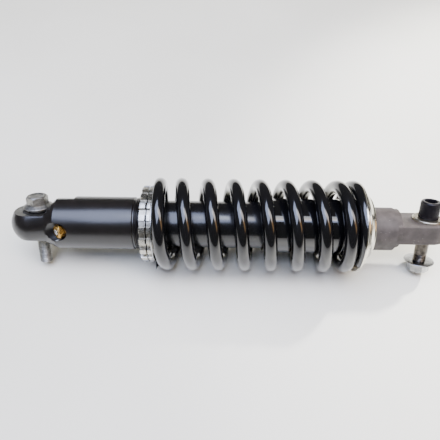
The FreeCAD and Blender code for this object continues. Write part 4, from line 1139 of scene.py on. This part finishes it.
@dataclass
class LowerEnd:
    """Spring seat, dust sleeve, forged mount and its screw, washer and nut."""

    seat_low: float = 299.0
    seat_bore: float = 15.7
    seat_pocket: float = 30.3
    seat_step: float = 37.0
    seat_cone: float = 34.6
    seat_hub: float = 30.5
    washer_print: float = 10.4
    shank: float = 6.0
    screw_head: float = 9.0
    socket: float = 10.0
    socket_depth: float = 8.0
    knurls: int = 60
    knurl_depth: float = 0.16
    nut_hex: float = 18.0
    thread_pitch: float = 1.75
    thread_depth: float = 0.7
    edge: float = 0.7

    def build(self) -> None:
        """Makes and dresses the lower end's pieces."""
        self.seat()
        self.sleeve()
        self.mount()
        self.bush()
        self.washer()
        self.screw()
        self.nut()

    def seat(self) -> None:
        """Turned seat with a rounded rim, a grooved step, a cone and a hub."""
        span = measure("lower_spring_seat", DAMPER)
        face = measure("coil_spring", DAMPER).high
        sleeve = measure("dust_sleeve", DAMPER).outer
        bore, rim, pocket = span.inner, span.outer, self.seat_pocket
        step, cone, hub = self.seat_step, self.seat_cone, self.seat_hub
        corners = [
            (self.seat_low, bore), (self.seat_low, self.seat_bore), (face, self.seat_bore), (face, sleeve),
            (span.low, sleeve, 0.2), (span.low, pocket, 1.0), (face, pocket), (face, rim, 0.7),
            (face + 1.5, rim, 0.3), (face + 1.8, rim - 0.35, 0.2), (face + 3.4, rim - 0.6, 0.7),
            (face + 3.4, step + 1.2, 0.6), (face + 3.9, step, 0.4), (face + 4.7, step, 0.15),
            (face + 4.9, step - 0.7, 0.15), (face + 5.5, step - 0.7, 0.15), (face + 5.7, step, 0.15),
            (face + 6.2, step - 0.2, 0.5), (face + 6.2, cone, 0.4), (face + 8.4, cone - 2.0, 0.5),
            (face + 10.8, hub, 0.4), (span.high, hub - 0.3, 0.7), (span.high, bore),
        ]
        turn_piece("turned_lower_seat", DAMPER, soften(corners), SEAT_ALLOY, Body.SEAT, "ring_alloy",
                   "lower_spring_seat")

    def sleeve(self) -> None:
        """Polished dust sleeve with a rounded lip and two raised bands."""
        span = measure("dust_sleeve", DAMPER)
        outer, inner = span.outer, span.inner
        waist = outer - 0.35
        corners = [
            (span.low, inner, 0.4), (span.low, outer, 0.6), (span.low + 4.0, outer, 0.3),
            (span.low + 4.4, waist, 0.3), (span.high - 14.0, waist, 0.3), (span.high - 13.6, outer, 0.3),
            (span.high, outer), (span.high, inner),
        ]
        turn_piece("polished_dust_sleeve", DAMPER, soften(corners), SLEEVE_GLOSS, Body.SEAT, "black_sleeve",
                   "dust_sleeve")

    def mount(self) -> None:
        """Forged mount: the CAD's own form with its edges worn round."""
        piece = carved_copy("forged_lower_mount", "lower_mount")
        bevel = piece.modifiers.new("worn_edges", "BEVEL")
        bevel.width = self.edge * MM
        bevel.segments = 3
        bevel.limit_method = "ANGLE"
        bevel.angle_limit = math.radians(32)
        bevel.harden_normals = True
        dress(piece, FORGED)
        settle(piece, Body.ROD, "cast_black", "lower_mount")

    def bush(self) -> None:
        """Steel bush in the eye, its ends countersunk."""
        span = measure("lower_eye_bush", LOWER_BOLT)
        outline = soften(ring_corners(span.low, span.high, span.inner, span.outer, 0.4))
        turn_piece("steel_eye_bush", LOWER_BOLT, outline, BEARING_STEEL, Body.ROD, "bearing_steel",
                   "lower_eye_bush")

    def washer(self) -> None:
        """Thick washer, chamfered above, with a worn ring under the screw's head."""
        span = measure("lower_washer", LOWER_BOLT)
        low, high, outer = span.low, span.high, span.outer
        worn = high - 0.12
        corners = [
            (low, span.inner, 0.2), (low, outer, 0.3), (high - 0.9, outer, 0.3), (high, outer - 0.9, 0.4),
            (high, self.washer_print, 0.2), (worn, self.washer_print - 0.5, 0.2), (worn, span.inner, 0.2),
        ]
        turn_piece("thick_plain_washer", LOWER_BOLT, soften(corners), ZINC_WORN, Body.LOWER_BOLT,
                   "zinc_steel", "lower_washer")

    def screw(self) -> None:
        """Socket head screw: knurled head, hexagon socket, plain shank and thread in the nut.

        The knurl lowers the head's radius by knurl_depth·(1 − |cos(knurls·θ / 2)|).
        """
        span = measure("lower_bolt", LOWER_BOLT)
        under = measure("lower_washer", LOWER_BOLT).high
        top, head, shank = span.high, self.screw_head, self.shank
        crest = shank - 0.05
        floor = top - self.socket_depth
        half = self.socket / 2
        corner = half * HEX_CORNER
        thread_end = measure("lower_nut", LOWER_BOLT).high + 8.0
        corners = [
            (span.low, 0), (span.low, shank - 1.3, 0.2), (span.low + 1.2, crest, 0.1), (thread_end, crest),
            (thread_end, shank, 0.02), (under, shank, 0.2), (under, head - 0.5, 0.3), (under + 0.5, head, 0.2),
            (top - 1.1, head, 0.3), (top, head - 1.0, 0.4), (top, half * 1.22, 0.2), (top - 0.7, corner, 0.1),
            (floor, corner, 0.1), (floor - 1.2, 0),
        ]
        outline = subdivide(soften(corners), 0.18, span.low, thread_end)
        cut = thread(span.low, thread_end, self.thread_pitch, self.thread_depth, crest)

        def worked(along: Array, radius: Array, theta: Array) -> tuple:
            """Thread, knurl and socket in one.

            Args:
                along: the stations.
                radius: the radii.
                theta: the angles.

            Returns:
                The stations and the new radii.
            """
            along, radius = cut(along, radius, theta)
            knurled = (radius > head - 0.05) & (along > under + 0.4) & (along < top - 1.0)
            groove = self.knurl_depth * (1 - np.abs(np.cos(self.knurls * theta / 2)))
            radius = np.where(knurled, radius - groove, radius)
            inside = (along < top - 0.3) & (along > floor - 0.3)
            inside &= (radius < half * 1.2) & (radius > shank - 0.6)
            flats = np.minimum(radius, half / np.cos(from_flat(theta)))
            return along, np.where(inside & (along > under), flats, radius)

        thetas = np.linspace(0, TURN, self.knurls * 6, endpoint=False)
        piece = lathe("socket_head_screw", LOWER_BOLT, outline, thetas, worked)
        station = LOWER_BOLT.read(face_table(piece, "center"))[:, 0]
        oxide, oiled = STORE.get(BLACK_OXIDE, BOLT_WAY), STORE.get(SHANK_STEEL, BOLT_WAY)
        two_tone(piece, oxide, oiled, station < under - 0.1)
        settle(piece, Body.LOWER_BOLT, "black_oxide_steel", "lower_bolt")

    def nut(self) -> None:
        """Flanged nut: conical flange, chamfered hexagon and a countersunk thread."""
        span = measure("lower_nut", LOWER_BOLT)
        low, high, half = span.low, span.high, self.nut_hex / 2
        shank, corner = self.shank, half * HEX_CORNER
        corners = [
            (high, shank), (high, shank + 1.2, 0.2), (high, span.outer, 0.5), (high - 1.3, span.outer, 0.5),
            (high - 2.4, half * 1.22, 0.7), (high - 2.9, corner, 0.3), (low + 1.4, corner),
            (low, half * 0.97, 0.3), (low, shank + 1.0, 0.3), (low + 0.9, shank, 0.1),
        ]
        outline = subdivide(soften(corners), 0.14, low, low + 1.5)
        turn_piece("flanged_hex_nut", LOWER_BOLT, outline, ZINC_BRIGHT, Body.LOWER_BOLT, "zinc_steel",
                   "lower_nut", shape=hexagon(self.nut_hex, low - 1, high - 2.7))


# ------------------------------------------------------------------ CAD nodes that stay as they are


@dataclass(frozen=True)
class HiddenWorks:
    """The damper's inner pieces: their CAD shapes stay and get a finish each."""

    finishes: tuple = (
        ("bearing_outer_race", BEARING_STEEL),
        ("bearing_ball", BEARING_STEEL),
        ("bearing_circlips", BLACK_OXIDE),
        ("gas_valve_o_ring", NITRILE),
        ("seal_head", PLAIN_ALLOY),
        ("seal_head_o_ring", NITRILE),
        ("rod_guide_bush", BRONZE),
        ("rod_seal", NITRILE),
        ("rod_wiper", NITRILE),
        ("seal_head_clip", ZINC_BRIGHT),
        ("top_out_bumper", NITRILE),
        ("floating_piston", PLAIN_ALLOY),
        ("floating_piston_o_ring", NITRILE),
        ("piston_rod", CHROME),
        ("main_piston", PLAIN_ALLOY),
        ("piston_band", BAND),
        ("rebound_shims", BEARING_STEEL),
        ("compression_shims", BEARING_STEEL),
        ("piston_nut", ZINC_BRIGHT),
        ("bump_stop", FOAM),
        ("bump_stop_cup", ZINC_BRIGHT),
    )

    def build(self) -> None:
        """Dresses each node."""
        for node, finish in self.finishes:
            way = BOLT_WAY if node.startswith("bearing") else DAMPER_WAY
            dress(frame["nodes"][node], finish, way)
            LOG.info("%s keeps its CAD shape in %s", node, finish.name)


# ------------------------------------------------------------------ table, light and camera


@dataclass(frozen=True)
class Lamp:
    """One light: a soft rectangle of a given size, or a spot where a cone is given instead."""

    name: str
    place: tuple
    aim: tuple
    watts: float
    colour: str
    size: tuple = ()
    cone_deg: float = 0.0
    mirrored: bool = True

    def hang(self) -> None:
        """Makes the light and turns it to its aim; mirrored lights show in glossy surfaces."""
        data = bpy.data.lights.new(self.name, "SPOT" if self.cone_deg else "AREA")
        if self.cone_deg:
            data.spot_size = math.radians(self.cone_deg)
            data.spot_blend = 0.45
            data.shadow_soft_size = 0.08
        else:
            data.shape = "RECTANGLE"
            data.size, data.size_y = self.size
        data.energy = self.watts
        data.color = linear(self.colour)[:3]
        light = bpy.data.objects.new(self.name, data)
        light.visible_glossy = self.mirrored
        light.location = self.place
        way = Vector(self.aim) - Vector(self.place)
        light.rotation_euler = way.to_track_quat("-Z", "Y").to_euler()
        bpy.context.scene.collection.objects.link(light)


@dataclass(frozen=True)
class Studio:
    """A pale table top, soft lights, a dim room and the camera."""

    floor_size: float = 6.0
    floor_drop: float = 0.0002
    floor_dark: str = "#e6e5dc"
    floor_light: str = "#f1f0e8"
    lamps: tuple = (
        Lamp("window", (-0.32, -0.22, 1.5), (-0.1, -0.1, 0.0), 42.0, "#ccd9ff", (1.35, 1.15)),
        Lamp("pale_wall", (0.62, -0.22, 1.48), (0.1, -0.1, 0.0), 16.0, "#e9edf6", (0.46, 1.4)),
        Lamp("tan_door", (1.06, -0.42, 1.2), (0.15, -0.05, 0.0), 12.0, "#c79c66", (0.5, 1.8)),
        Lamp("ceiling_bounce", (0.0, 0.4, 2.2), (0.0, 0.0, 0.0), 92.0, "#fff9ea", (3.0, 3.0),
             mirrored=False),
        Lamp("sun_patch", (1.25, 1.15, 1.25), (0.44, 0.20, 0.0), 420.0, "#fffdf8", cone_deg=22.0,
             mirrored=False),
    )
    room_colour: str = "#dcdad2"
    room_strength: float = 0.14
    camera_place: tuple = (-0.00985, -0.2463, 0.3773)
    camera_right: tuple = (0.99988, 0.01125, 0.01089)
    camera_up: tuple = (-0.01554, 0.79844, 0.60170)
    lens: float = 35.7

    def build(self) -> None:
        """Makes the table, the lights and the camera."""
        self.table()
        for lamp in self.lamps:
            lamp.hang()
        self.room()
        self.camera()

    def table(self) -> None:
        """A wide satin table top just under the object."""
        half, drop = self.floor_size / 2, -self.floor_drop
        corners = [(-half, -half, drop), (half, -half, drop), (half, half, drop), (-half, half, drop)]
        mesh = bpy.data.meshes.new("table_top")
        mesh.from_pydata(corners, [], [(0, 1, 2, 3)])
        table = bpy.data.objects.new("table_top", mesh)
        bpy.context.scene.collection.objects.link(table)
        material = bpy.data.materials.new("pale_table_laminate")
        material.use_nodes = True
        tree = material.node_tree
        shader = tree.nodes["Principled BSDF"]
        place = add_node(tree, "TexCoord").outputs["Object"]
        cloud = add_node(tree, "TexNoise", None, Vector=place, Scale=3.0, Detail=3.0).outputs["Fac"]
        colour = ramp(tree, cloud, [(0.3, self.floor_dark), (0.7, self.floor_light)])
        tree.links.new(colour, shader.inputs["Base Color"])
        shader.inputs["Roughness"].default_value = 0.5
        shader.inputs["Specular IOR Level"].default_value = 0.3
        table.data.materials.append(material)

    def room(self) -> None:
        """A dim even room round everything."""
        world = bpy.data.worlds.new("dim_room")
        world.use_nodes = True
        shade = world.node_tree.nodes["Background"]
        shade.inputs["Color"].default_value = linear(self.room_colour)
        shade.inputs["Strength"].default_value = self.room_strength
        bpy.context.scene.world = world

    def camera(self) -> None:
        """The camera, from its place and its own right and up directions."""
        right, up = Vector(self.camera_right).normalized(), Vector(self.camera_up).normalized()
        back = right.cross(up).normalized()
        up = back.cross(right)
        turn = Matrix((right, up, back)).transposed().to_4x4()
        data = bpy.data.cameras.new("view")
        data.sensor_width = 36.0
        data.lens = self.lens
        data.clip_start = 0.01
        camera = bpy.data.objects.new("view", data)
        camera.matrix_world = Matrix.Translation(Vector(self.camera_place)) @ turn
        bpy.context.scene.collection.objects.link(camera)
        bpy.context.scene.camera = camera


def main() -> None:
    """Builds every sub-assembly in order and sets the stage."""
    logging.basicConfig(level=logging.INFO, format="%(message)s")
    for assembly in (DamperBody(), UpperBearing(), SpringStack(), LowerEnd(), HiddenWorks(), Studio()):
        assembly.build()


if __name__ == "__main__":
    main()
